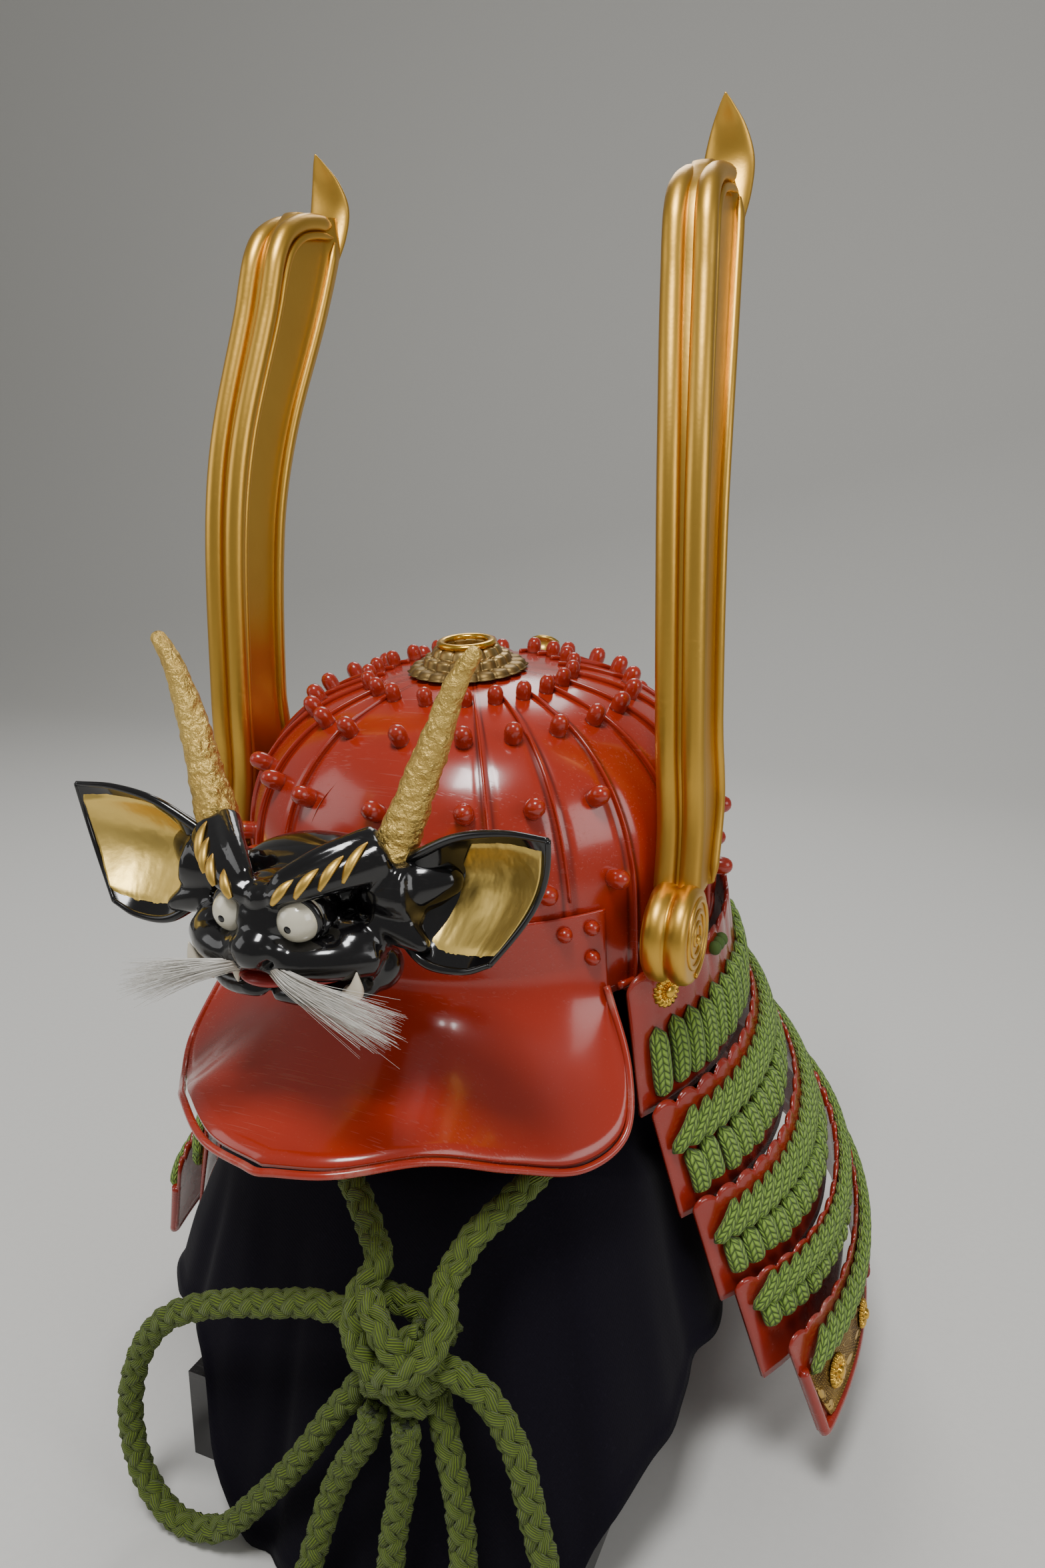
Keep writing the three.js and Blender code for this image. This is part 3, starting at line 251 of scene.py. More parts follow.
class Bench:
    """A mesh on the bench: shapes are added to it, and it leaves as one named piece."""

    def __init__(self, name: str) -> None:
        """Start an empty mesh for the piece of that name.

        Args:
            name: The piece's name.
        """
        self.name = name
        self.bm = bmesh.new()
        self.uv = self.bm.loops.layers.uv.new("Lay")
        # The Worn layer holds wear and patina, and as negative values painted shade.
        self.worn = self.bm.verts.layers.float.new("Worn")

    def panel(
        self,
        columns: int,
        rows: int,
        place: Place,
        uv: tuple[float, float] = (1.0, 1.0),
        finish: int = 0,
        weld: bool = True,
    ) -> list[Vert]:
        """Lay a grid over a surface.

        Args:
            columns: Faces across.
            rows: Faces along.
            place: Gives the point for a share across and a share along.
            uv: The size of the surface in its own pattern's units.
            finish: The number of the material on it.
            weld: Whether edges that meet are joined and open ends closed.

        Returns:
            The grid's vertices.
        """
        made = bmesh.ops.create_grid(self.bm, x_segments=columns, y_segments=rows, size=1.0)
        verts = made["verts"]
        shares = {v: ((v.co.x + 1) / 2, (v.co.y + 1) / 2) for v in verts}
        faces = {f for v in verts for f in v.link_faces}
        for face in faces:
            face.material_index = finish
            for loop in face.loops:
                u, v = shares[loop.vert]
                loop[self.uv].uv = (u * uv[0], v * uv[1])
        for vert, (u, v) in shares.items():
            vert.co = place(u, v)
        if not weld:
            return verts
        bmesh.ops.remove_doubles(self.bm, verts=verts, dist=2e-6)
        verts = [v for v in verts if v.is_valid]
        rims = {e for v in verts for e in v.link_edges if e.is_boundary}
        if rims:
            closed = bmesh.ops.holes_fill(self.bm, edges=list(rims), sides=0)
            for face in closed["faces"]:
                face.material_index = finish
        return verts

    def slab(
        self, columns: int, rows: int, face: Place, back: Place, uv: tuple[float, float] = (1.0, 1.0),
        finish: int = 0
    ) -> list[Vert]:
        """Lay a closed sheet with a face and a back, pinched shut along its sides.

        Args:
            columns: Faces across.
            rows: Faces along.
            face: Gives the outer face's points.
            back: Gives the back's points.
            uv: The size of the sheet in its own pattern's units.
            finish: The number of the material on it.

        Returns:
            The sheet's vertices.
        """
        wide, tall = columns + 2, rows * 2 + 2

        def place(a: float, b: float) -> Vector:
            """Return a point of the face, the foot, the back or the head.

            Args:
                a: Share of the way across the grid.
                b: Share of the way round the grid.

            Returns:
                The point, in metres.
            """
            i, j = round(a * wide), round(b * tall)
            u = min(columns, max(0, i - 1)) / columns
            front = j <= rows or j == tall
            v = 0.0 if j == tall else j / rows if front else (2 * rows + 1 - j) / rows
            if i in (0, wide):
                return face(u, v).lerp(back(u, v), 0.5)
            return face(u, v) if front else back(u, v)

        return self.panel(wide, tall, place, (uv[0], uv[1] * 2), finish)

    def rod(
        self,
        stops: Sequence[Stop],
        width: Callable[[float], float],
        sides: int,
        thin: float = 1.0,
        finish: int = 0,
        around: float = 1.0,
    ) -> list[Vert]:
        """Lay a closed round or flattened rod along a line's stations.

        Args:
            stops: The stations.
            width: Half the rod's width at a share of its length, in millimetres.
            sides: Faces round it.
            thin: Its thickness as a share of its width.
            finish: The number of the material on it.
            around: The pattern's size round the rod.

        Returns:
            The rod's vertices.
        """
        last = len(stops) - 1
        length = sum((b.place - a.place).length for a, b in zip(stops, stops[1:]))

        def place(u: float, v: float) -> Vector:
            """Return a point of the rod's skin.

            Args:
                u: Share of the way round.
                v: Share of the way along.

            Returns:
                The point, in metres.
            """
            stop = stops[round(v * last)]
            turn = tau * u
            half = width(v) * MM
            return stop.place + stop.side * (half * cos(turn)) + stop.up * (half * thin * sin(turn))

        return self.panel(sides, last, place, (around, length / MM), finish)

    def bead(
        self,
        middle: Vector,
        radii: Point,
        turn: Matrix | None = None,
        finish: int = 0,
        across: int = 16,
        down: int = 10,
    ) -> list[Vert]:
        """Add a ball.

        Args:
            middle: Its middle, in metres.
            radii: Its three radii, in millimetres.
            turn: How it is turned.
            finish: The number of the material on it.
            across: Faces round it.
            down: Faces from pole to pole.

        Returns:
            The ball's vertices.
        """
        made = bmesh.ops.create_uvsphere(self.bm, u_segments=across, v_segments=down, radius=1.0)["verts"]
        turned = turn.to_4x4() if turn else Matrix()
        whole = Matrix.Translation(middle) @ turned @ Matrix.Diagonal((*(r * MM for r in radii), 1.0))
        bmesh.ops.transform(self.bm, matrix=whole, verts=made)
        for face in {f for v in made for f in v.link_faces}:
            face.material_index = finish
        return made

    def spun(
        self, profile: Sequence[tuple[float, float]], steps: int, place: Matrix, finish: int = 0
    ) -> list[Vert]:
        """Spin a profile of radius and height round Z, close it and set it in its place.

        Args:
            profile: Radii and heights, in millimetres, from the axis back to the axis.
            steps: Faces round the turned body.
            place: Where the body's axis and foot go.
            finish: The number of the material on it.

        Returns:
            The body's vertices.
        """
        line = [self.bm.verts.new(spot(r, 0.0, z)) for r, z in profile]
        edges = [self.bm.edges.new(pair) for pair in zip(line, line[1:])]
        before = set(self.bm.faces)
        bmesh.ops.spin(
            self.bm, geom=[*line, *edges], cent=(0, 0, 0), axis=(0, 0, 1),
            angle=2 * pi, steps=steps, use_merge=True, use_duplicate=False,
        )
        faces = [f for f in self.bm.faces if f not in before]
        verts = list({v for f in faces for v in f.verts})
        bmesh.ops.remove_doubles(self.bm, verts=verts, dist=1e-6)
        verts = [v for v in verts if v.is_valid]
        bmesh.ops.transform(self.bm, matrix=place, verts=verts)
        for face in {f for v in verts for f in v.link_faces}:
            face.material_index = finish
        return verts

    def tone(self, verts: Sequence[Vert], value: Callable[[Vector], float]) -> None:
        """Keep on each vertex how worn it is, or as a negative value its painted shade, for the material to
        read.
        """
        for vert in verts:
            vert[self.worn] = value(vert.co)

    def leave(
        self,
        finishes: Sequence[bpy.types.Material],
        slot: str,
        stands_for: Sequence[str] = (),
        turn_out: bool = True,
        smooth: bool = True,
    ) -> Piece:
        """Take the piece off the bench.

        Args:
            finishes: The piece's materials, in the order of their numbers.
            slot: The name of a material slot; not used.
            stands_for: The solids that the piece takes the place of.
            turn_out: Whether its faces are turned outwards first.
            smooth: Whether it is shaded smooth.

        Returns:
            The object, which moves with the only body.
        """
        if turn_out:
            bmesh.ops.recalc_face_normals(self.bm, faces=self.bm.faces)
        for face in self.bm.faces:
            face.smooth = smooth
        name = self.name.replace(" ", "_")
        mesh = bpy.data.meshes.new(name)
        self.bm.to_mesh(mesh)
        self.bm.free()
        for finish in finishes:
            mesh.materials.append(finish)
        piece = shown(name, mesh)
        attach(piece, "root")
        if stands_for:
            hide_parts(*stands_for)
        LOG.info("%s: %d faces", self.name, len(mesh.polygons))
        return piece


def shown(name: str, data: bpy.types.ID) -> Piece:
    """Return a new object with that data, put in the scene.

    Args:
        name: The object's name.
        data: Its mesh, light or camera.

    Returns:
        The object.
    """
    thing = bpy.data.objects.new(name, data)
    bpy.context.scene.collection.objects.link(thing)
    return thing


def keep(piece: Piece, kind: str, **settings: object) -> bpy.types.Modifier:
    """Put a modifier with its settings on a piece.

    Args:
        piece: The piece.
        kind: The modifier's kind.
        **settings: Its settings, by name.

    Returns:
        The modifier.
    """
    modifier = piece.modifiers.new(kind.title(), kind)
    for name, value in settings.items():
        setattr(modifier, name, value)
    return modifier


def settled(piece: Piece) -> None:
    """Bake a piece's modifiers into its mesh.

    Args:
        piece: The piece.
    """
    bpy.context.view_layer.update()
    evaluated = piece.evaluated_get(bpy.context.evaluated_depsgraph_get())
    mesh = bpy.data.meshes.new_from_object(evaluated)
    old = piece.data
    piece.modifiers.clear()
    piece.data = mesh
    bpy.data.meshes.remove(old)


class Group:
    """A shader node group under construction, with named inputs and outputs."""

    def __init__(self, name: str, inputs: dict[str, float], outputs: dict[str, str]) -> None:
        """Start the group with its sockets.

        Args:
            name: The group's name.
            inputs: Input names and their usual numbers.
            outputs: Output names and their kinds, Float or Vector.
        """
        self.tree = bpy.data.node_groups.new(name, "ShaderNodeTree")
        for title, value in inputs.items():
            socket = self.tree.interface.new_socket(title, in_out="INPUT", socket_type="NodeSocketFloat")
            socket.default_value = value
        for title, kind in outputs.items():
            self.tree.interface.new_socket(title, in_out="OUTPUT", socket_type=f"NodeSocket{kind}")
        self.wires = Wires(self.tree)
        self.start = self.tree.nodes.new("NodeGroupInput")
        self.end = self.tree.nodes.new("NodeGroupOutput")


class Wires:
    """Adds nodes to a tree and wires them up."""

    def __init__(self, tree: bpy.types.NodeTree) -> None:
        """Keep the tree."""
        self.tree = tree

    def add(self, kind: str, settings: dict[str, object] | None = None, **inputs: object) -> bpy.types.Node:
        """Add a node.

        Args:
            kind: The node's type, without its Shader prefix.
            settings: The node's own settings.
            **inputs: Sockets to set or wire, by name, with _ for a space, or by number as n0, n1.

        Returns:
            The node.
        """
        node = self.tree.nodes.new(f"ShaderNode{kind}")
        for name, value in (settings or {}).items():
            setattr(node, name, value)
        for name, value in inputs.items():
            numbered = name[0] == "n" and name[1:].isdigit()
            socket = node.inputs[int(name[1:]) if numbered else name.replace("_", " ")]
            if isinstance(value, Socket):
                self.tree.links.new(value, socket)
            else:
                socket.default_value = value
        return node

    def spots(self, kind: str = "Object") -> Socket:
        """Return the piece's own coordinates."""
        return self.add("TexCoord").outputs[kind]

    def feed(self, shader: bpy.types.Node, **inputs: object) -> None:
        """Set or wire a shader's sockets, by name, with _ for a space.

        Args:
            shader: The shader node.
            **inputs: A value or another socket for each.
        """
        for name, value in inputs.items():
            socket = shader.inputs[name.replace("_", " ")]
            if isinstance(value, Socket):
                self.tree.links.new(value, socket)
            else:
                socket.default_value = value

    def maths(self, operation: str, a: object, b: object = 0.0, clamp: bool = False) -> Socket:
        """Add a Math node and return its result."""
        return self.add("Math", {"operation": operation, "use_clamp": clamp}, n0=a, n1=b).outputs[0]

    def times(self, a: object, b: object, clamp: bool = False) -> Socket:
        """Return a times b."""
        return self.maths("MULTIPLY", a, b, clamp)

    def madd(self, a: object, b: object, c: object) -> Socket:
        """Return a times b plus c."""
        return self.add("Math", {"operation": "MULTIPLY_ADD"}, n0=a, n1=b, n2=c).outputs[0]

    def noise(self, where: object, scale: float, detail: float = 3.0, rough: float = 0.5) -> Socket:
        """Add a Noise Texture and return its grey value.

        Args:
            where: The coordinates that it reads.
            scale: The size of its pattern.
            detail: How many finer layers it has.
            rough: How strong the finer layers are.

        Returns:
            The grey value, from 0 to 1.
        """
        return self.add(
            "TexNoise", None, Vector=where, Scale=scale, Detail=detail, Roughness=rough
        ).outputs["Fac"]

    def ramp(self, value: object, low: float, high: float) -> Socket:
        """Stretch a value so that low becomes 0 and high becomes 1."""
        return self.add("MapRange", {"clamp": True}, Value=value, n1=low, n2=high).outputs[0]

    def blend(self, share: object, a: object, b: object) -> Socket:
        """Mix two colours and return the result.

        Args:
            share: How much of the second colour shows.
            a: The first colour.
            b: The second colour.

        Returns:
            The mixed colour.
        """
        node = self.add("Mix", {"data_type": "RGBA"})
        for socket, value in ((node.inputs[0], share), (node.inputs[6], a), (node.inputs[7], b)):
            if isinstance(value, Socket):
                self.tree.links.new(value, socket)
            else:
                socket.default_value = value
        return node.outputs[2]

    def bump(self, height: object, strength: float, depth: float, normal: object = None) -> Socket:
        """Turn a height into a normal.

        Args:
            height: The height.
            strength: How strongly it shows.
            depth: Its depth, in metres.
            normal: The normal under it.

        Returns:
            The normal.
        """
        node = self.add("Bump", None, Height=height, Strength=strength, Distance=depth)
        if normal is not None:
            self.tree.links.new(normal, node.inputs["Normal"])
        return node.outputs["Normal"]


def hairlines() -> bpy.types.NodeTree:
    """Build the group of fine crossing scratches.

    Returns:
        The group: Scale in, and the Lines mask out.
    """
    group = Group("Hairlines", {"Scale": 1.0, "Amount": 0.5}, {"Lines": "Float"})
    w = group.wires
    where = w.spots()
    found: object = 0.0
    for turn, stretch in ((0.5, 900.0), (1.9, 700.0), (2.7, 1100.0)):
        moved = w.add(
            "Mapping", None, Vector=where, Rotation=(turn, turn * 1.7, turn * 0.6),
            Scale=(22.0, stretch, stretch)
        )
        grain = w.add(
            "TexNoise", None, Vector=moved.outputs[0], Scale=group.start.outputs["Scale"], Detail=1.0
        )
        line = w.ramp(grain.outputs["Fac"], 0.66, 0.74)
        found = w.maths("MAXIMUM", found, line)
    patch = w.ramp(w.noise(where, 18.0, 2.0), 0.45, 0.65)
    kept = w.times(w.times(found, patch), group.start.outputs["Amount"])
    group.tree.links.new(kept, group.end.inputs["Lines"])
    return group.tree


def clouds() -> bpy.types.NodeTree:
    """Build the group of soft patches and fine dust.

    Returns:
        The group: Scale in, and the Patch and Dust masks out.
    """
    group = Group("Clouds", {"Scale": 1.0}, {"Patch": "Float", "Dust": "Float"})
    w = group.wires
    where = w.spots()
    scaled = w.add(
        "VectorMath", {"operation": "SCALE"}, n0=where, Scale=group.start.outputs["Scale"]
    ).outputs[0]
    patch = w.ramp(w.noise(scaled, 12.0, 4.0, 0.55), 0.35, 0.7)
    dust = w.ramp(w.noise(scaled, 900.0, 2.0, 0.7), 0.62, 0.8)
    group.tree.links.new(patch, group.end.inputs["Patch"])
    group.tree.links.new(dust, group.end.inputs["Dust"])
    return group.tree


def stitches() -> bpy.types.NodeTree:
    """Build the group of plaited stitches that lean to both sides of a lace's middle.

    Returns:
        The group: stitches per unit along and across in, and the Height mask and the Gap mask, where painted
            shade lies between the stitches, out.
    """
    group = Group("Stitches", {"Along": 0.55, "Across": 4.0}, {"Height": "Float", "Gap": "Float"})
    w = group.wires
    where = w.add("SeparateXYZ", None, Vector=w.spots("UV"))
    u = w.times(where.outputs[0], group.start.outputs["Across"])
    fold = w.maths("PINGPONG", u, 0.5)
    lean = w.times(fold, 1.6)
    along = w.maths("ADD", w.times(where.outputs[1], group.start.outputs["Along"]), lean)
    bow = w.maths("ABSOLUTE", w.maths("SINE", w.times(along, pi)))
    ridge = w.maths("ABSOLUTE", w.maths("SINE", w.times(u, pi * 2)))
    height = w.times(w.maths("POWER", bow, 0.6), w.maths("POWER", ridge, 0.5))
    group.tree.links.new(height, group.end.inputs["Height"])
    # The Gap mask marks where painted shade lies between the stitches.
    group.tree.links.new(w.ramp(height, 0.8, 0.15), group.end.inputs["Gap"])
    return group.tree


class Effects:
    """The shader groups, built once and shared."""

    def __init__(self) -> None:
        """Build the groups."""
        self.hairlines = hairlines()
        self.clouds = clouds()
        self.stitches = stitches()

    def put(self, wires: Wires, tree: bpy.types.NodeTree, **inputs: float) -> bpy.types.Node:
        """Add one of the groups to a material, with its inputs set.

        Args:
            wires: The material's wires.
            tree: The group.
            **inputs: Its numbers, by name.

        Returns:
            The group's node.
        """
        node = wires.tree.nodes.new("ShaderNodeGroup")
        node.node_tree = tree
        for name, value in inputs.items():
            node.inputs[name].default_value = value
        return node


@dataclass(frozen=True)
class Finish:
    """What every finish has: a name, a colour and a roughness."""

    name: str
    colour: Colour
    rough: float = 0.4

    def start(self) -> tuple[bpy.types.Material, Wires, bpy.types.Node]:
        """Return a new material, its wires and its Principled node with the plain values set.

        Returns:
            The material, the builder of its nodes and its Principled node.
        """
        material = bpy.data.materials.new(self.name)
        material.use_nodes = True
        wires = Wires(material.node_tree)
        shader = material.node_tree.nodes["Principled BSDF"]
        wires.feed(shader, Base_Color=(*self.colour, 1.0), Roughness=self.rough)
        return material, wires, shader


@dataclass(frozen=True)
class Lacquer(Finish):
    """Polished lacquer over iron, with clouds in its depth, dust and hairline scratches."""

    deep: Colour = (0.1, 0.004, 0.003)
    rough: float = 0.12
    coat: float = 0.6
    scratched: float = 0.5
    dusty: float = 0.15
    grime: Colour = (0.62, 0.45, 0.36)
    waves: float = 0.3

    def make(self, effects: Effects) -> bpy.types.Material:
        """Build the material.

        Args:
            effects: The shared shader groups.

        Returns:
            The material; a piece's Worn attribute shows where its lacquer is rubbed pale, and where it is
            negative, painted shade darkens the lacquer beside the ribs.
        """
        material, w, shader = self.start()
        clouds_node = effects.put(w, effects.clouds, Scale=1.0)
        lines = effects.put(w, effects.hairlines, Scale=1.0, Amount=self.scratched).outputs["Lines"]
        wear_and_shade_value = w.add("Attribute", {"attribute_name": "Worn"}).outputs["Fac"]
        worn_mask = w.maths("MAXIMUM", wear_and_shade_value, 0.0)
        # A negative Worn value is painted shade that darkens the lacquer beside the ribs.
        groove = w.maths("MAXIMUM", w.times(wear_and_shade_value, -1.0), 0.0, clamp=True)
        where = w.spots()
        broken = w.ramp(w.noise(where, 160.0, 4.0, 0.65), 0.34, 0.62)
        rubbed = w.times(worn_mask, broken, clamp=True)
        depth = w.times(clouds_node.outputs["Patch"], 0.35)
        base = w.blend(depth, (*self.colour, 1.0), (*self.deep, 1.0))
        dusted = w.blend(w.times(clouds_node.outputs["Dust"], self.dusty), base, (*self.grime, 1.0))
        scratched = w.blend(w.times(lines, 0.22), dusted, (*self.grime, 1.0))
        pale = w.blend(rubbed, scratched, (*self.grime, 1.0))
        # The near-black colour of the painted shade beside the ribs.
        groove_shade = tuple(0.12 * c for c in self.deep)
        w.feed(shader, Base_Color=w.blend(groove, pale, (*groove_shade, 1.0)))
        uneven = w.madd(clouds_node.outputs["Patch"], 0.06, self.rough)
        rougher = w.maths("ADD", uneven, w.times(w.maths("MAXIMUM", lines, rubbed), 0.4), clamp=True)
        w.feed(shader, Roughness=rougher)
        w.feed(shader, Coat_Weight=self.coat, Coat_Roughness=self.rough * 0.5, Coat_IOR=1.55)
        swell = w.noise(where, 38.0, 2.0, 0.4)
        soft = w.bump(swell, self.waves, 0.0012)
        normal = w.bump(w.times(lines, -1.0), 0.25, 0.0002, soft)
        w.feed(shader, Normal=normal, Coat_Normal=soft)
        return material


class Relief(Enum):
    """How a gilt surface is worked."""

    SMOOTH = "smooth"
    LEAF = "leaf"
    STAMPED = "stamped"
    KNURLED = "knurled"


@dataclass(frozen=True)
class Gilding(Finish):
    """Gold leaf, gilt metal or bronze, with a patina in its low places."""

    patina: Colour = (0.16, 0.08, 0.02)
    rough: float = 0.28
    age: float = 0.35
    relief: Relief = Relief.SMOOTH
    grain: float = 0.35

    def make(self, effects: Effects) -> bpy.types.Material:
        """Build the material.

        Args:
            effects: The shared shader groups.

        Returns:
            The material; a piece's Worn attribute shows where the patina lies.
        """
        material, w, shader = self.start()
        patches = effects.put(w, effects.clouds, Scale=2.2)
        lines = effects.put(w, effects.hairlines, Scale=1.0, Amount=0.5).outputs["Lines"]
        where = w.spots()
        fold = w.add("Attribute", {"attribute_name": "Worn"}).outputs["Fac"]
        height = self._height(w, where)
        low = w.maths("SUBTRACT", 1.0, height, clamp=True)
        aged = w.times(w.madd(patches.outputs["Patch"], 0.6, 0.25), self.age)
        mask = w.maths("ADD", w.times(aged, low), w.times(fold, 0.85), clamp=True)
        tint = w.blend(mask, (*self.colour, 1.0), (*self.patina, 1.0))
        w.feed(shader, Base_Color=tint, Metallic=1.0)
        rough = w.maths("ADD", w.times(w.maths("MAXIMUM", mask, lines), 0.3), self.rough, clamp=True)
        w.feed(shader, Roughness=rough)
        fine = w.bump(w.noise(where, 420.0, 3.0, 0.6), 0.18, 0.0003)
        w.feed(shader, Normal=w.bump(height, self.grain, 0.0012, fine))
        return material

    def _height(self, w: Wires, where: object) -> Socket:
        """Return the height of the worked surface.

        Args:
            w: The material's wires.
            where: The coordinates to read.

        Returns:
            The height.
        """
        if self.relief is Relief.LEAF:
            cells = w.add("TexVoronoi", {"feature": "DISTANCE_TO_EDGE"}, Vector=where, Scale=330.0).outputs[0]
            creases = w.ramp(cells, 0.0, 0.4)
            return w.times(w.madd(creases, 0.5, 0.5), w.ramp(w.noise(where, 260.0, 5.0, 0.65), 0.3, 0.7))
        if self.relief is Relief.STAMPED:
            return self._stamps(w)
        if self.relief is Relief.KNURLED:
            uv = w.add("SeparateXYZ", None, Vector=w.spots("UV"))
            a = w.maths("SINE", w.times(w.maths("ADD", uv.outputs[0], uv.outputs[1]), 160.0))
            b = w.maths("SINE", w.times(w.maths("SUBTRACT", uv.outputs[0], uv.outputs[1]), 160.0))
            return w.madd(w.times(a, b), 0.5, 0.5)
        return w.noise(where, 45.0, 2.0, 0.5)

    def _stamps(self, w: Wires) -> Socket:
        """Return the height of rows of stamped dots with rosettes of petals between them.

        Args:
            w: The material's wires.

        Returns:
            The height.
        """
        uv = w.spots("UV")
        dots = w.add(
            "TexVoronoi", {"feature": "F1"}, Vector=uv, Scale=0.62, Randomness=0.25
        ).outputs["Distance"]
        knobs = w.ramp(dots, 0.42, 0.16)
        cell = w.add("TexVoronoi", {"feature": "F1"}, Vector=uv, Scale=0.085, Randomness=0.35)
        radius = w.times(cell.outputs["Distance"], 1.0)
        scaled = w.add("VectorMath", {"operation": "SCALE"}, n0=uv, Scale=0.085).outputs[0]
        offset = w.add(
            "VectorMath", {"operation": "SUBTRACT"}, n0=scaled, n1=cell.outputs["Position"]
        ).outputs[0]
        parts = w.add("SeparateXYZ", None, Vector=offset)
        angle = w.maths("ARCTAN2", parts.outputs[1], parts.outputs[0])
        petals = w.maths("ABSOLUTE", w.maths("COSINE", w.times(angle, 4.0)))
        reach = w.madd(petals, 0.14, 0.2)
        flower = w.ramp(w.maths("SUBTRACT", reach, radius), 0.0, 0.07)
        eye = w.ramp(radius, 0.075, 0.05)
        ring = w.ramp(w.maths("ABSOLUTE", w.maths("SUBTRACT", radius, 0.36)), 0.03, 0.0)
        raised = w.maths("MAXIMUM", w.maths("SUBTRACT", flower, eye), ring)
        around = w.times(knobs, w.ramp(radius, 0.36, 0.4))
        return w.maths("MAXIMUM", raised, w.times(around, 0.8))


@dataclass(frozen=True)
class Silk(Finish):
    """Plaited silk: stitches or running yarns, with painted shade in the gaps and painted highlights on
    scattered threads.
    """

    shade: Colour = (0.02, 0.05, 0.02)
    light: Colour = (0.5, 0.55, 0.35)
    rough: float = 0.72
    stitched: bool = True
    along: float = 0.45
    across: float = 2.0

    def make(self, effects: Effects) -> bpy.types.Material:
        """Build the material.

        Args:
            effects: The shared shader groups.

        Returns:
            The material, laid by the piece's UV: shares across and millimetres along.
        """
        material, w, shader = self.start()
        where = w.spots()
        if self.stitched:
            stitch = effects.put(w, effects.stitches, Along=self.along, Across=self.across)
            height, gap_shade = stitch.outputs["Height"], stitch.outputs["Gap"]
        else:
            uv = w.add("SeparateXYZ", None, Vector=w.spots("UV"))
            turn = w.maths("ADD", w.times(uv.outputs[0], self.across), w.times(uv.outputs[1], self.along))
            height = w.maths("POWER", w.maths("ABSOLUTE", w.maths("SINE", w.times(turn, pi))), 0.7)
            gap_shade = w.ramp(height, 0.45, 0.05)
        # The light colour, laid on scattered threads in patches, is a painted highlight.
        threads = w.noise(where, 1300.0, 2.0, 0.7)
        patches = w.noise(where, 60.0, 3.0)
        light = w.times(w.ramp(threads, 0.5, 0.78), w.ramp(patches, 0.3, 0.75))
        base = w.blend(w.times(light, 0.55), (*self.colour, 1.0), (*self.light, 1.0))
        # The shade colour in the gaps between stitches or yarns is painted shade.
        dark = w.blend(w.times(gap_shade, 0.85), base, (*self.shade, 1.0))
        w.feed(shader, Base_Color=dark, Sheen_Weight=0.1, Sheen_Roughness=0.4)
        fine = w.bump(threads, 0.3, 0.0002)
        w.feed(shader, Normal=w.bump(height, 1.0, 0.0011, fine))
        return material


@dataclass(frozen=True)
class Cloth(Finish):
    """Matte woven cloth with fine slubs and lint."""

    lint: Colour = (0.12, 0.1, 0.12)
    rough: float = 0.9
    threads: float = 1500.0

    def make(self, effects: Effects) -> bpy.types.Material:
        """Build the material.

        Args:
            effects: The shared shader groups.

        Returns:
            The material.
        """
        material, w, shader = self.start()
        patches = effects.put(w, effects.clouds, Scale=0.6)
        where = w.spots()
        parts = w.add("SeparateXYZ", None, Vector=where)
        level = w.maths("SINE", w.times(parts.outputs[2], self.threads * 2.2))
        across = w.maths(
            "SINE", w.times(w.maths("ADD", parts.outputs[0], parts.outputs[1]), self.threads * 2.2)
        )
        weave = w.madd(w.times(level, across), 0.5, 0.5)
        slub = w.noise(where, 700.0, 3.0, 0.7)
        spread = w.maths("ADD", w.times(slub, 0.35), w.times(patches.outputs["Dust"], 0.5))
        shade = w.blend(w.times(spread, 0.4), (*self.colour, 1.0), (*self.lint, 1.0))
        w.feed(shader, Base_Color=shade, Sheen_Weight=0.03, Specular_IOR_Level=0.15)
        fine = w.bump(weave, 0.25, 0.0002)
        w.feed(shader, Normal=w.bump(slub, 0.3, 0.0004, fine))
        return material


@dataclass(frozen=True)
class Hair(Finish):
    """Stiff white hair, yellowed in patches and darker at its root."""

    root: Colour = (0.35, 0.27, 0.18)
    rough: float = 0.5

    def make(self, effects: Effects) -> bpy.types.Material:
        """Build the material.

        Args:
            effects: The shared shader groups.

        Returns:
            The material; a strand's UV runs from its root to its tip.
        """
        material, w, shader = self.start()
        uv = w.add("SeparateXYZ", None, Vector=w.spots("UV"))
        patches = effects.put(w, effects.clouds, Scale=4.0).outputs["Patch"]
        near_root = w.ramp(uv.outputs[1], 9.0, 0.0)
        shade = w.maths("ADD", w.times(near_root, 0.7), w.times(patches, 0.3), clamp=True)
        w.feed(shader, Base_Color=w.blend(shade, (*self.colour, 1.0), (*self.root, 1.0)))
        w.feed(shader, Sheen_Weight=0.2)
        return material


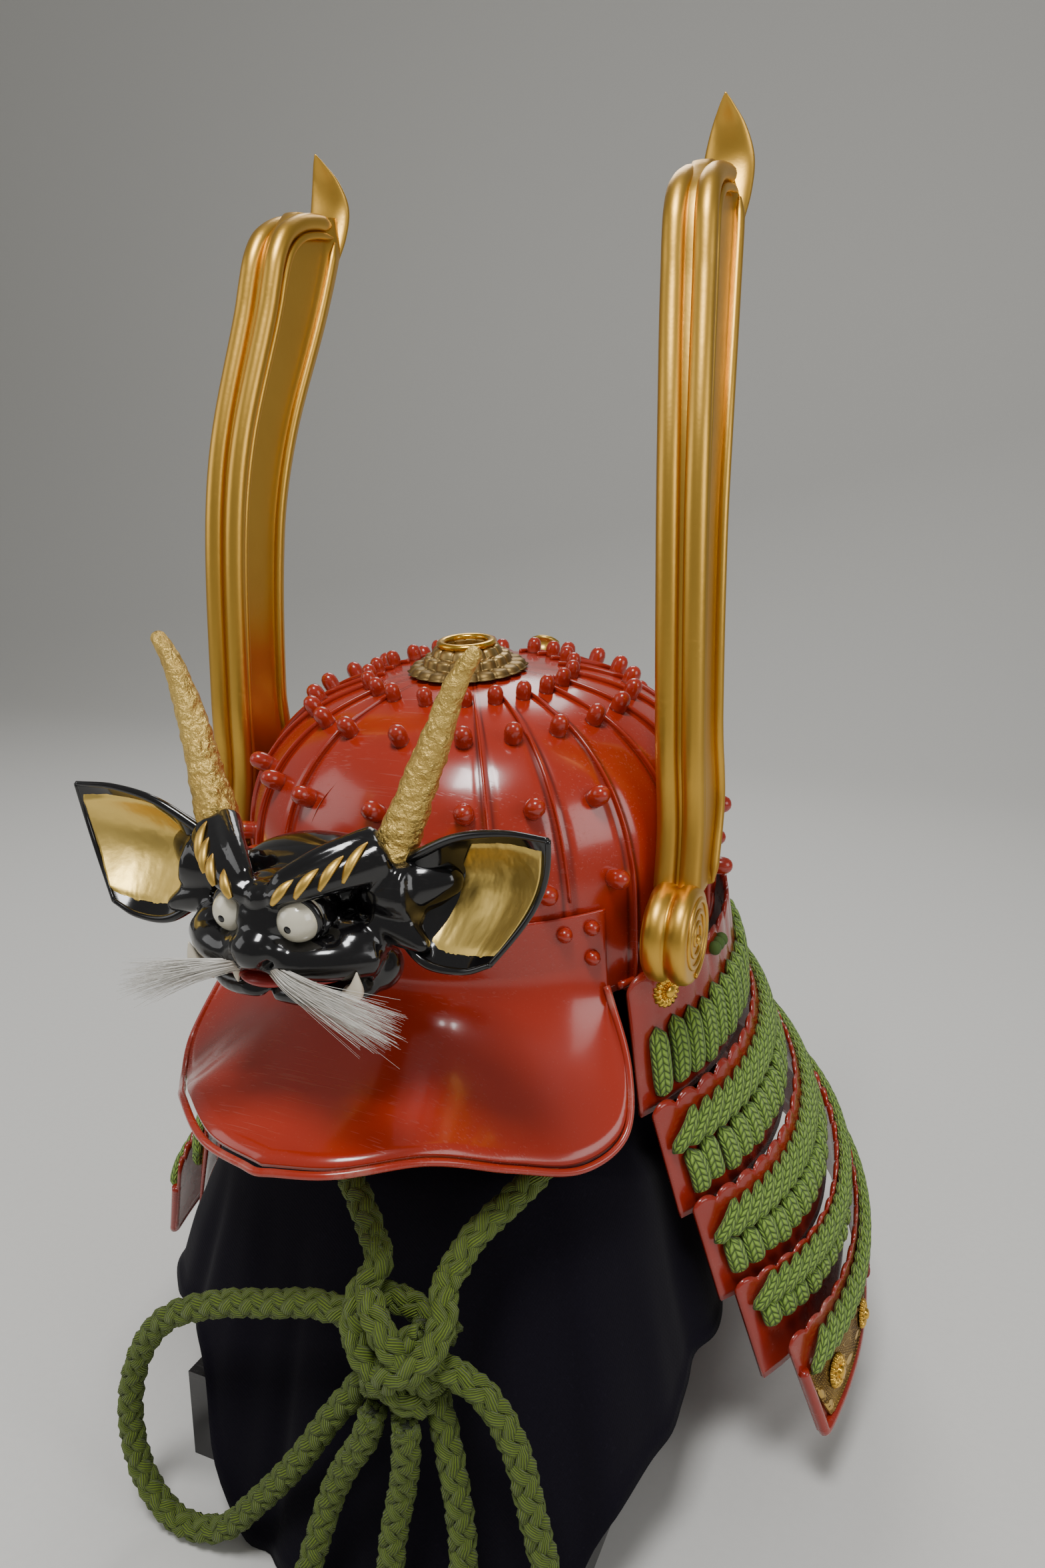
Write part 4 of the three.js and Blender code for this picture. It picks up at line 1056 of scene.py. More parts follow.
class Finishes:
    """Every material of the helmet, built once."""

    def __init__(self) -> None:
        """Build the materials."""
        effects = Effects()
        self.vermilion = Lacquer(
            "Vermilion lacquer", (0.4, 0.026, 0.009), deep=(0.24, 0.012, 0.005), rough=0.2, coat=0.35,
            grime=(0.5, 0.3, 0.24), dusty=0.1, waves=0.25,
        ).make(effects)
        self.lame_red = Lacquer(
            "Plate lacquer", (0.33, 0.02, 0.008), deep=(0.17, 0.008, 0.004), rough=0.22, coat=0.4,
            waves=0.5, dusty=0.12, grime=(0.45, 0.25, 0.2),
        ).make(effects)
        self.black = Lacquer(
            "Black lacquer", (0.004, 0.0035, 0.004), deep=(0.008, 0.007, 0.008), rough=0.12, coat=0.3,
            scratched=0.2, dusty=0.08, grime=(0.12, 0.11, 0.1), waves=0.2,
        ).make(effects)
        self.stand_black = Lacquer(
            "Stand lacquer", (0.006, 0.005, 0.006), deep=(0.01, 0.008, 0.009), rough=0.2, coat=0.4,
            dusty=0.4, grime=(0.2, 0.19, 0.18),
        ).make(effects)
        self.mouth_red = Lacquer(
            "Mouth lacquer", (0.4, 0.02, 0.015), deep=(0.2, 0.01, 0.01), rough=0.3, coat=0.3
        ).make(effects)
        self.pearl = Lacquer(
            "Eye pearl", (0.74, 0.7, 0.56), deep=(0.5, 0.42, 0.26), rough=0.18, coat=0.8, scratched=0.1
        ).make(effects)
        self.ivory = Lacquer(
            "Fang ivory", (0.8, 0.74, 0.6), deep=(0.6, 0.45, 0.25), rough=0.3, coat=0.3, scratched=0.2
        ).make(effects)
        self.leaf = Gilding(
            "Gold leaf", (0.86, 0.6, 0.17), rough=0.3, relief=Relief.LEAF, grain=1.0, age=0.55,
            patina=(0.3, 0.14, 0.03),
        ).make(effects)
        self.ear_leaf = Gilding(
            "Ear gold leaf", (0.9, 0.64, 0.18), rough=0.38, age=0.15, grain=0.5, patina=(0.3, 0.14, 0.03)
        ).make(effects)
        self.brow = Gilding(
            "Brow gold", (0.85, 0.55, 0.13), rough=0.38, age=0.5, patina=(0.2, 0.1, 0.03)
        ).make(effects)
        self.satin = Gilding(
            "Satin gold", (0.74, 0.43, 0.075), rough=0.36, age=0.3, grain=0.12, patina=(0.3, 0.15, 0.03)
        ).make(effects)
        self.stamped = Gilding(
            "Stamped gold", (0.62, 0.4, 0.1), rough=0.38, age=1.3, relief=Relief.STAMPED, grain=1.0,
            patina=(0.09, 0.045, 0.015),
        ).make(effects)
        self.bright = Gilding("Bright gold", (0.85, 0.5, 0.07), rough=0.2, age=0.3, grain=0.1).make(effects)
        self.bronze = Gilding(
            "Crown bronze", (0.5, 0.34, 0.13), rough=0.34, age=1.0, grain=0.4, patina=(0.07, 0.04, 0.015)
        ).make(effects)
        self.knurled = Gilding(
            "Knurled gold", (0.85, 0.55, 0.12), rough=0.28, age=0.8, relief=Relief.KNURLED, grain=0.9
        ).make(effects)
        self.cord = Silk(
            "Green cord", (0.135, 0.2, 0.009), shade=(0.01, 0.018, 0.001), light=(0.29, 0.4, 0.04),
            stitched=False, along=0.35, across=16.0,
        ).make(effects)
        # The cord's core is near-black green: painted shade that shows between the strands.
        self.cord_core = Silk(
            "Cord core", (0.03, 0.045, 0.006), shade=(0.008, 0.012, 0.002), light=(0.05, 0.07, 0.01),
            stitched=False, along=0.35, across=12.0,
        ).make(effects)
        self.green = Silk(
            "Green lacing", (0.25, 0.42, 0.05), shade=(0.02, 0.05, 0.005), light=(0.68, 0.84, 0.28),
            along=0.3, across=5.0,
        ).make(effects)
        self.white = Silk(
            "White lacing", (0.62, 0.6, 0.52), shade=(0.3, 0.28, 0.22), light=(0.85, 0.85, 0.8), along=0.5,
            across=4.0,
        ).make(effects)
        self.dark = Silk(
            "Black lacing", (0.01, 0.009, 0.012), shade=(0.003, 0.003, 0.003), light=(0.06, 0.06, 0.06),
            along=0.5, across=4.0,
        ).make(effects)
        self.pink = Silk(
            "Pink lacing", (0.55, 0.1, 0.1), shade=(0.2, 0.03, 0.03), light=(0.8, 0.4, 0.36), along=0.5,
            across=4.0,
        ).make(effects)
        self.crimson = Silk(
            "Crimson braid", (0.5, 0.012, 0.02), shade=(0.08, 0.003, 0.005), light=(0.7, 0.1, 0.09),
            along=0.42, across=6.0,
        ).make(effects)
        self.cloth = Cloth("Dark cloth", (0.0032, 0.0022, 0.006), lint=(0.024, 0.02, 0.036)).make(effects)
        self.felt = Cloth("Pad felt", (0.02, 0.018, 0.02), threads=900.0).make(effects)
        self.hair = Hair("White hair", (0.86, 0.84, 0.78)).make(effects)


class BraidedCord:
    """A round braid of eight strands, four turning each way, laid along a line."""

    pitch = 43.0
    core = 3.4
    middle = 3.1
    swing = 1.0
    wide = 2.75
    thick = 1.65

    def __init__(
        self, bench: Bench, points: Sequence[Point], start: float = 0.0
    ) -> None:
        """Keep the bench, the line's points in millimetres and the share of a turn to start at.

        Args:
            bench: The cord's bench.
            points: Its points, in millimetres.
            start: The share of a turn to start at.
        """
        self.bench = bench
        self.line = Line([spot(*p) for p in points])
        self.start = start

    def lay(self) -> None:
        """Add the core, dark as painted shade seen between the strands, and the eight strands."""
        self.bench.rod(
            self.line.stops(max(12, round(self.line.length / (5 * MM)))), lambda v: self.core, 8, 1.0, 1
        )
        steps = max(20, round(self.line.length / (2.0 * MM)))
        ground = self.line.stops(steps)
        for way in (1.0, -1.0):
            for i in range(4):
                self.bench.rod(self._strand(ground, way, i), lambda v: self.wide, 6, self.thick / self.wide)

    def _strand(self, ground: Sequence[Stop], way: float, i: int) -> list[Stop]:
        """Return one strand's stations round the cord's own.

        Args:
            ground: The cord's own stations.
            way: 1 or -1, the way that it turns.
            i: Its number, 0 to 3.

        Returns:
            The strand's stations.
        """
        spread = []
        step = self.line.length / (len(ground) - 1) / MM
        for n, stop in enumerate(ground):
            turned = tau * (n * step / self.pitch + self.start)
            angle = way * turned + i * pi / 2
            radius = self.middle + way * self.swing * cos(4 * turned)
            out = stop.side * cos(angle) + stop.up * sin(angle)
            spread.append((stop.place + out * radius * MM, out))
        found = []
        for n, (place, out) in enumerate(spread):
            ahead = spread[min(len(spread) - 1, n + 1)][0] - spread[max(0, n - 1)][0]
            along = ahead.normalized()
            side = out.cross(along).normalized()
            found.append(Stop(place, along, side, along.cross(side)))
        return found


@dataclass(frozen=True)
class CordEnd:
    """One visible run of the chin cord."""

    name: str
    points: Rows
    far_end: str


@dataclass
class ChinCord:
    """The braided cord: two straps from the helmet, the knot, two bow loops and two tails."""

    finishes: Finishes
    diameter: float = 11.4
    runs: tuple[CordEnd, ...] = (
        CordEnd("chin_strap_left", (
            (88.6, -40, 252), (81.5, -37, 251), (76, -39, 243), (75, -48, 232), (75, -62, 220),
            (76, -84, 203), (74, -106, 186), (65, -122, 176), (59, -136, 171), (54, -149, 161)), "object"),
        CordEnd("chin_strap_right", (
            (-88.6, -40, 252), (-81.5, -37, 251), (-76, -39, 243), (-74, -48, 232), (-69, -64, 218),
            (-50, -92, 199), (-22, -113, 184), (1, -127, 174), (15, -139, 169), (27, -149, 161)), "object"),
        CordEnd("bow_loop_right", (
            (26, -160, 143), (4, -158, 141), (-16, -157, 134), (-44, -156, 124), (-72, -155, 107),
            (-90, -154, 80), (-97, -154, 46), (-90, -155, 20), (-74, -156, 7.5), (-52, -156, 12),
            (-30, -156, 36), (-8, -157, 66), (8, -157, 92), (19, -156, 108), (25, -155, 119)), "object"),
        CordEnd("bow_loop_left", (
            (50, -161, 137), (72, -158, 126), (84, -158, 108), (91, -159, 84), (98, -160, 56),
            (102, -163, 28), (97, -169, 9), (84, -174, 5.9), (72, -170, 12), (66, -164, 34),
            (64, -160, 62), (60, -159, 90), (55, -156, 106), (51, -155, 118)), "object"),
        CordEnd("cord_tail_right", (
            (33, -168, 113), (28, -166, 98), (18, -163, 80), (9, -161, 60), (2, -163, 36),
            (-3, -168, 16), (-6, -178, 6.4), (-8, -192, 5.9), (-9, -204, 5.9)), "knot"),
        CordEnd("cord_tail_left", (
            (46.5, -168, 112), (45, -166, 97), (41.5, -163, 79), (37, -163, 56), (35, -165, 32),
            (33, -170, 14), (32, -181, 6.2), (32, -194, 5.9), (33, -206, 5.9)), "knot"),
    )
    wraps: tuple[Rows, ...] = (
        (
            (21, -144.5, 165), (27, -150, 160.5), (23, -158, 151), (25, -165, 140), (35, -168, 130),
            (46, -166, 121), (49.6, -159, 115)
        ),
        (
            (56.5, -143.5, 165), (54, -150.5, 159.5), (57, -159, 151), (54, -166.5, 141), (43, -171, 134),
            (33, -166.5, 125), (29, -158, 115)
        ),
        ((25, -150, 147), (40, -149, 145), (57, -151.5, 139)),
        ((45, -151, 121), (41, -160, 110), (44, -163, 117)),
        ((28, -160, 154), (38, -168, 147), (50, -166, 132), (53, -158, 124)),
        ((51, -161, 147), (42, -164, 139), (31, -162, 131)),
    )

    def build(self) -> list[Piece]:
        """Returns:
            The knot, the runs and the bindings of the tails.
        """
        bench = Bench("Chin knot")
        for n, wrap in enumerate(self.wraps):
            BraidedCord(bench, wrap, n * 0.07).lay()
        knot = bench.leave([self.finishes.cord, self.finishes.cord_core], "green_cord", ["chin_knot"])
        pieces = [knot]
        for run in self.runs:
            bench = Bench(title_of(run.name))
            cord = BraidedCord(bench, run.points)
            cord.lay()
            piece = bench.leave([self.finishes.cord, self.finishes.cord_core], "green_cord", [run.name])
            carried = [self._binding(cord, run.name)] if run.far_end == "knot" else []
            tuple(cord.line.points[0])
            cord.line.length
            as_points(self._route(cord.line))
            LOG.info("%s: %.0f mm", run.name, cord.line.length / MM)
            pieces += [piece, *carried]
        return pieces

    def _route(self, line: Line) -> list[tuple[float, ...]]:
        """Return the line's route as evenly spaced points."""
        steps = min(39, max(15, round(line.length / (16 * MM))))
        return [tuple(line.at(i / steps)) for i in range(steps + 1)]

    def _binding(self, cord: BraidedCord, name: str) -> Piece:
        """Return the bound end of a tail: a ring of thread.

        Args:
            cord: The tail.
            name: The tail's node.

        Returns:
            The bound end.
        """
        bench = Bench(f"{title_of(name)} Binding")
        line = cord.line
        for i in range(5):
            middle = line.at(1 - (7.0 - i * 0.9) * MM / line.length)
            ahead = (line.at(1.0) - line.at(0.97)).normalized()
            side = ahead.orthogonal().normalized()
            across = ahead.cross(side)

            def place(u: float, v: float) -> Vector:
                """Return a point of one turn of the thread.

                Args:
                    u: Share of the way round the thread.
                    v: Share of the way along it.

                Returns:
                    The point, in metres.
                """
                a, b = tau * u, tau * v
                out = side * cos(a) + across * sin(a)
                return middle + out * (5.3 + 0.5 * cos(b)) * MM + ahead * 0.5 * MM * sin(b)

            bench.panel(28, 8, place, (1.0, 34.0))
        return bench.leave([self.finishes.green], "green_cord")


@dataclass
class Bowl:
    """The ribbed bowl's form, its raised rib lines and its high rivets."""

    finishes: Finishes
    radius: float = 106.0
    height: float = 108.0
    wall: float = 3.0
    front: float = 0.96
    back: float = 1.06
    shift: float = 3.0
    profile: Rows = (
        (-0.055, 0.985), (0.0, 0.994), (0.11, 1.0), (0.34, 1.0), (0.417, 0.992), (0.56, 0.955), (0.69, 0.888),
        (0.8, 0.79), (0.889, 0.66), (0.955, 0.49), (0.99, 0.34), (1.012, 0.16), (1.014, 0.0),
    )
    rib_first: float = 26.5
    rib_step: float = 16.0
    ribs: int = 10
    rivet_rows: Rows = (
        (0.972, 0.0, 0.0), (0.888, 0.0, 0.0), (0.69, 60.0, 98.0), (0.417, 60.0, 98.0), (0.15, 0.0, 98.0),
    )

    def at(self, angle: float, height: float, lift: float = 0.0, scale: float = 1.0) -> Vector:
        """Return the bowl's surface in the upright helmet's millimetres.

        Args:
            angle: Degrees round the bowl from the front, the wearer's left being positive.
            height: Millimetres above the rim's plane.
            lift: Millimetres out from the surface.
            scale: Share of the full bowl.

        Returns:
            The point.
        """
        share = table(self.profile, height / self.height, 1)
        r = self.radius * max(0.0, share) + lift
        turn = radians(angle)
        reach = self.front if cos(turn) > 0 else self.back
        back = self.shift * r / self.radius - r * cos(turn) * reach
        return Vector((r * sin(turn) * scale, back * scale, height * scale))

    def out(self, angle: float, height: float) -> Vector:
        """Return the direction square to the surface.

        Args:
            angle: Degrees round from the front, the wearer's left being positive.
            height: Millimetres above the rim's plane.

        Returns:
            The direction, of length 1.
        """
        top = self.height * 1.0139
        high, low = min(top, height + 0.6), min(top, height + 0.6) - 1.2
        rise = self.at(angle, high) - self.at(angle, low)
        around = self.at(angle + 0.4, height) - self.at(angle - 0.4, height)
        if around.length < 1e-4:
            return Vector((0, 0, 1))
        return around.cross(rise).normalized()

    def rib_angles(self) -> list[float]:
        """Return the angle of every rib."""
        one_side = [self.rib_first + self.rib_step * i for i in range(self.ribs)]
        return [-a for a in reversed(one_side)] + one_side

    def build(self) -> list[Piece]:
        """Build the bowl as one piece.

        Returns:
            The bowl alone.
        """
        bench = Bench("Bowl")
        self._dome(bench)
        for angle in self.rib_angles():
            self._rib(bench, angle)
        self._rim(bench)
        for angle, share in self._rivet_spots():
            self._rivet(bench, angle, share * self.height)
        return [bench.leave([self.finishes.vermilion], "vermilion_lacquer", ["bowl"])]

    def _dome(self, bench: Bench) -> None:
        """Lay the bowl's outer and inner walls as one closed skin.

        Args:
            bench: The piece's bench.
        """
        low, top = self.profile[0][0] * self.height, self.profile[-1][0] * self.height
        ribs = self.rib_angles()

        def level(share: float) -> float:
            """Return the height at a share of the way over the bowl, close together near the top."""
            return mix(low, top, sin(share * pi / 2))

        def place(u: float, v: float) -> Vector:
            """Return a point of the wall, over the outside and back down the inside.

            Args:
                u: Share of the way round the bowl.
                v: Share of the way over both faces.

            Returns:
                The point, in metres.
            """
            angle = mix(-180, 180, u)
            if v <= 0.5:
                height = level(v * 2)
                near = min(abs(angle - rib) for rib in ribs)
                step = -0.5 * exp(-((near - 1.6) / 0.9) ** 2) if height < 0.9 * top else 0.0
                return worn(*self.at(angle, height, step))
            inside = (1.0 - v) * 2 if v < 0.999 else 0.0
            scale = 1.0 if v >= 0.999 else 1 - self.wall / self.radius
            return worn(*self.at(angle, level(min(1.0, inside * 1.02)), 0.0, scale))

        verts = bench.panel(480, 84, place, (660.0, 300.0))
        back = HELMET_PLACE.inverted()

        def groove_shade(co: Vector) -> float:
            """Return the painted shade in the groove beside each rib.

            Args:
                co: A vertex of the bowl.

            Returns:
                The painted shade, from 0 down to -0.75.
            """
            at = (back @ co) / MM
            reach = self.front if at.y < self.shift else self.back
            angle = degrees(atan2(at.x, (self.shift - at.y) / reach))
            near = min((abs(angle - rib) for rib in ribs if abs(abs(rib) - abs(angle)) < 4), default=9.0)
            return -0.75 * exp(-(((near - 1.35) / 0.45) ** 2)) if near < 4 else 0.0

        # Painted shade beside the ribs, kept as negative Worn values.
        bench.tone(verts, groove_shade)
        points = [
            worn(*self.at(angle, height, 0.05)) for angle,
            height in ((-13.0, 86.0), (-17.5, 74.0), (-19.5, 58.0))
        ]
        stops = Line(points, 8).stops(40)
        scratch = bench.rod(stops, lambda v: 0.55 * sin(pi * min(1, 0.06 + v)), 6, 0.3)
        bench.tone(scratch, lambda co: 0.9)

    def _rib(self, bench: Bench, angle: float) -> None:
        """Raise the folded edge of one plate as a thin line from the rim to the crown.

        Args:
            bench: The piece's bench.
            angle: Degrees round from the front, the wearer's left being positive.
        """
        visor = abs(angle) < 52
        low = 40.0 if visor else self.profile[0][0] * self.height
        stops = []
        for i in range(41):
            height = mix(low, 0.985 * self.height, sin(i / 40 * pi / 2))
            out = self.out(angle, height)
            place = self.at(angle, height)
            next_up = self.at(angle, min(height + 1, 0.99 * self.height)) - self.at(angle, height - 1)
            along = next_up.normalized()
            side = along.cross(out).normalized()
            stops.append(Stop(worn(*(place + out * 0.5)), faced(*along), faced(*side), faced(*out)))
        bench.rod(stops, lambda v: 0.62, 8, 2.2)

    def _rim(self, bench: Bench) -> None:
        """Roll a bead round the bowl's lower edge, behind the visor.

        Args:
            bench: The piece's bench.
        """
        low = self.profile[0][0] * self.height

        def place(u: float, v: float) -> Vector:
            """Return a point of the bead.

            Args:
                u: Share of the way round the bowl.
                v: Share of the way round the bead.

            Returns:
                The point, in metres.
            """
            angle, turn = mix(54, 306, v), tau * u
            lift = 0.4 + 1.7 * cos(turn)
            return worn(*self.at(angle, low + 2.4 + 2.0 * sin(turn), lift))

        bench.panel(10, 120, place, (1.0, 500.0))

    def _rivet_spots(self) -> list[tuple[float, float]]:
        """Return the angle and the share of height of every rivet.

        Returns:
            Pairs of the angle in radians and the share of height.
        """
        columns = [0.0]
        for angle in [self.rib_first + self.rib_step * i for i in range(self.ribs)]:
            columns += [angle - 5, 5 - angle]
        spots = []
        for share, skip_from, skip_to in self.rivet_rows:
            spots += [(a, share) for a in columns if not (skip_to and skip_from <= abs(a) < skip_to)]
        return spots

    def _rivet(self, bench: Bench, angle: float, height: float) -> None:
        """Drive one egg-shaped rivet, with grime round its foot.

        Args:
            bench: The piece's bench.
            angle: Degrees round from the front, the wearer's left being positive.
            height: Millimetres above the rim's plane.
        """
        out = faced(*self.out(angle, height))
        foot = worn(*self.at(angle, height, -0.8))
        size = 0.8 if height > 0.95 * self.height else 0.92 if height > 0.8 * self.height else 1.0
        profile = (
            (0.0, 0.0), (4.0, 0.0), (3.9, 1.6), (4.1, 3.4), (4.05, 5.6), (3.5, 7.5), (2.4, 8.9), (1.1, 9.5),
            (0.0, 9.6),
        )
        place = seated(foot, out)
        verts = bench.spun([(r * size, z * size) for r, z in profile], 12, place)
        bench.tone(verts, lambda co: 0.5 * ease(1 - (co - foot).dot(out) / (2.0 * MM)))


@dataclass
class Crown:
    """The tiered crown ornament, its ring and the stud behind it."""

    finishes: Finishes
    bowl: Bowl
    radius: float = 25.6
    height: float = 10.5
    seat: float = 109.8

    def build(self) -> list[Piece]:
        """Build the three pieces.

        Returns:
            The ornament, its ring and the stud at the back.
        """
        bench = Bench("Crown Ornament")
        rows = (
            (0.0, 0.0, 0.0, 0), (0.06, 0.96, 0.0, 0), (0.12, 1.0, 0.08, 20), (0.22, 0.93, 0.26, 20),
            (0.3, 0.78, 0.3, 20), (0.34, 0.76, 0.38, 16), (0.44, 0.72, 0.6, 16), (0.52, 0.62, 0.66, 16),
            (0.56, 0.61, 0.72, 12), (0.68, 0.55, 0.94, 12), (0.78, 0.46, 1.0, 12), (0.86, 0.37, 1.0, 12),
            (0.92, 0.34, 0.62, 0), (1.0, 0.0, 0.55, 0),
        )

        def place(u: float, v: float) -> Vector:
            """Return a point of the three tiers of petals.

            Args:
                u: Share of the way round.
                v: Share of the way under, round and over the tiers.

            Returns:
                The point, in metres.
            """
            angle = tau * u
            r, z = table(rows, v, 1), table(rows, v, 2)
            count = next(row[3] for row in rows if row[0] >= v - 1e-9)
            scallop = abs(sin(count * angle / 2)) ** 0.5 if count else 1.0
            r = r * (1 - 0.07 * (1 - scallop)) if count else r
            z = max(0.0, z) - (0.07 * (1 - scallop) if count else 0.0)
            return worn(self.radius * r * sin(angle), -self.radius * r * cos(angle) - 1.0,
                        self.seat + self.height * max(0.0, z))

        verts = bench.panel(240, 56, place, (160.0, 40.0))
        top = worn(0, 0, self.seat)
        up = faced(0, 0, 1)
        bench.tone(verts, lambda co: 0.5 * ease(0.9 - (co - top).dot(up) / (self.height * MM)))
        ornament = bench.leave([self.finishes.bronze], "antique_gold", ["crown_ornament"])
        bench = Bench("Crown Ring")

        def ring(u: float, v: float) -> Vector:
            """Return a point of the polished ring.

            Args:
                u: Share of the way round.
                v: Share of the way through the ring.

            Returns:
                The point, in metres.
            """
            a, b = tau * u, tau * v
            r = 11.2 + 1.9 * cos(b)
            return worn(
                r * sin(a), -r * cos(a) - 1.0, self.seat + self.height + 0.9 + 1.5 * sin(b)
            )

        bench.panel(72, 16, ring, (70.0, 10.0))
        polished = bench.leave([self.finishes.bright], "bright_gold", ["crown_ring"])
        bench = Bench("Back Stud")
        out = faced(*self.bowl.out(180, 92))
        seat = seated(worn(*self.bowl.at(180, 92, 0.8)), out)
        profile = (
            (0.0, 0.0), (7.6, 0.0), (8.0, 1.0), (7.2, 2.0), (6.4, 2.4), (6.4, 8.6), (7.2, 9.2), (7.2, 10.4),
            (5.0, 11.6), (0.0, 12.0),
        )
        bench.spun(profile, 40, seat)
        stud = bench.leave([self.finishes.knurled], "bright_gold", ["back_stud"])
        return [ornament, polished, stud]


@dataclass
class Visor:
    """The broad visor with its flange on the bowl and its rolled brim."""

    finishes: Finishes
    bowl: Bowl
    half_angle: float = 50.0
    reach: float = 186.0
    wall: float = 2.4
    brim: Rows = (
        (0.0, 0.0, 1.0, -0.085), (0.14, 0.139, 0.967, -0.081), (0.29, 0.277, 0.863, -0.095),
        (0.46, 0.392, 0.745, -0.174), (0.62, 0.49, 0.634, -0.234), (0.75, 0.545, 0.531, -0.211),
        (0.87, 0.521, 0.438, -0.115), (1.0, 0.452, 0.362, 0.016),
    )

    def edge(self, u: float) -> Vector:
        """Return the brim's point for a share from -1 to 1 across it.

        Args:
            u: Share from -1 to 1 across it.

        Returns:
            The point in the upright helmet's millimetres.
        """
        s = abs(u)
        out, ahead, level = (table(self.brim, s, c) * self.reach for c in (1, 2, 3))
        return Vector((copysign(out, u), -ahead, level))

    def at(self, u: float, s: float, lift: float = 0.0) -> Vector:
        """Return the visor's surface.

        Args:
            u: Share from -1 to 1 across.
            s: 0 at the bend against the bowl, 1 at the brim; below 0 up the flange.
            lift: Millimetres above the under side.

        Returns:
            The point in the upright helmet's millimetres.
        """
        start = self.bowl.at(u * self.half_angle, 12.0, 0.3 + lift)
        if s < 0:
            return self.bowl.at(u * self.half_angle, mix(12.0, 35.0, -s), 0.3 + lift)
        turn = self.bowl.at(u * self.half_angle, 12.0 - 20.46, 0.3 + lift + 3.72)
        end = self.edge(u)
        place = start * (1 - s) ** 2 + turn * (2 * s * (1 - s)) + end * s**2
        place.z += (lift - self.wall) * 0.55 * s + lift * 0.3 * s
        return place

    def build(self) -> list[Piece]:
        """Build the visor as one piece.

        Returns:
            The visor alone.
        """
        bench = Bench("Visor")
        rows = 48

        def place(u: float, v: float) -> Vector:
            """Return a point: up over the top, round the brim and back underneath.

            Args:
                u: Share of the way across the brow.
                v: Share of the way over both faces.

            Returns:
                The point, in metres.
            """
            across = mix(-1, 1, u)
            if v < 0.5:
                return worn(
                    *self.at(across, mix(-1, 1, v * 2) if v * 2 > 0.5 else mix(-1, 0, v * 4), self.wall)
                )
            back = (1 - v) * 2
            if v > 0.999:
                return worn(*self.at(across, -1, self.wall))
            return worn(*self.at(across, mix(-1, 1, back) if back > 0.5 else mix(-1, 0, back * 2), 0.0))

        bench.panel(120, rows * 2 + 1, place, (300.0, 200.0))
        verts = self._roll(bench)
        bench.tone(verts, lambda co: 0.45 * ease(noise.noise(co * 60.0) + 0.15))
        for angle, height in ((40.5, 28.0), (46.5, 28.5), (46.5, 15.5)):
            for side, _ in SIDES:
                self._rivet(bench, angle * side, height)
        return [bench.leave([self.finishes.vermilion], "vermilion_lacquer", ["visor"])]

    def _roll(self, bench: Bench) -> list[Vert]:
        """Roll the brim's edge over a wire.

        Args:
            bench: The piece's bench.

        Returns:
            The roll's vertices.
        """
        points = [worn(*(self.at(mix(-1, 1, i / 64), 1.0, 1.1))) for i in range(65)]
        stops = Line(points, 4).stops(240, Vector((0, 0, 1)))
        return bench.rod(stops, lambda v: 1.45, 12)

    def _rivet(self, bench: Bench, angle: float, height: float) -> None:
        """Drive one low rivet through the flange.

        Args:
            bench: The piece's bench.
            angle: Degrees round from the front, the wearer's left being positive.
            height: Millimetres above the rim's plane.
        """
        out = faced(*self.bowl.out(angle, height))
        foot = worn(*self.bowl.at(angle, height, 2.2))
        place = seated(foot, out)
        profile = [(0.0, 0.0), (3.1, 0.0), (3.2, 1.4), (2.6, 3.0), (1.4, 4.0), (0.0, 4.4)]
        bench.spun(profile, 12, place)


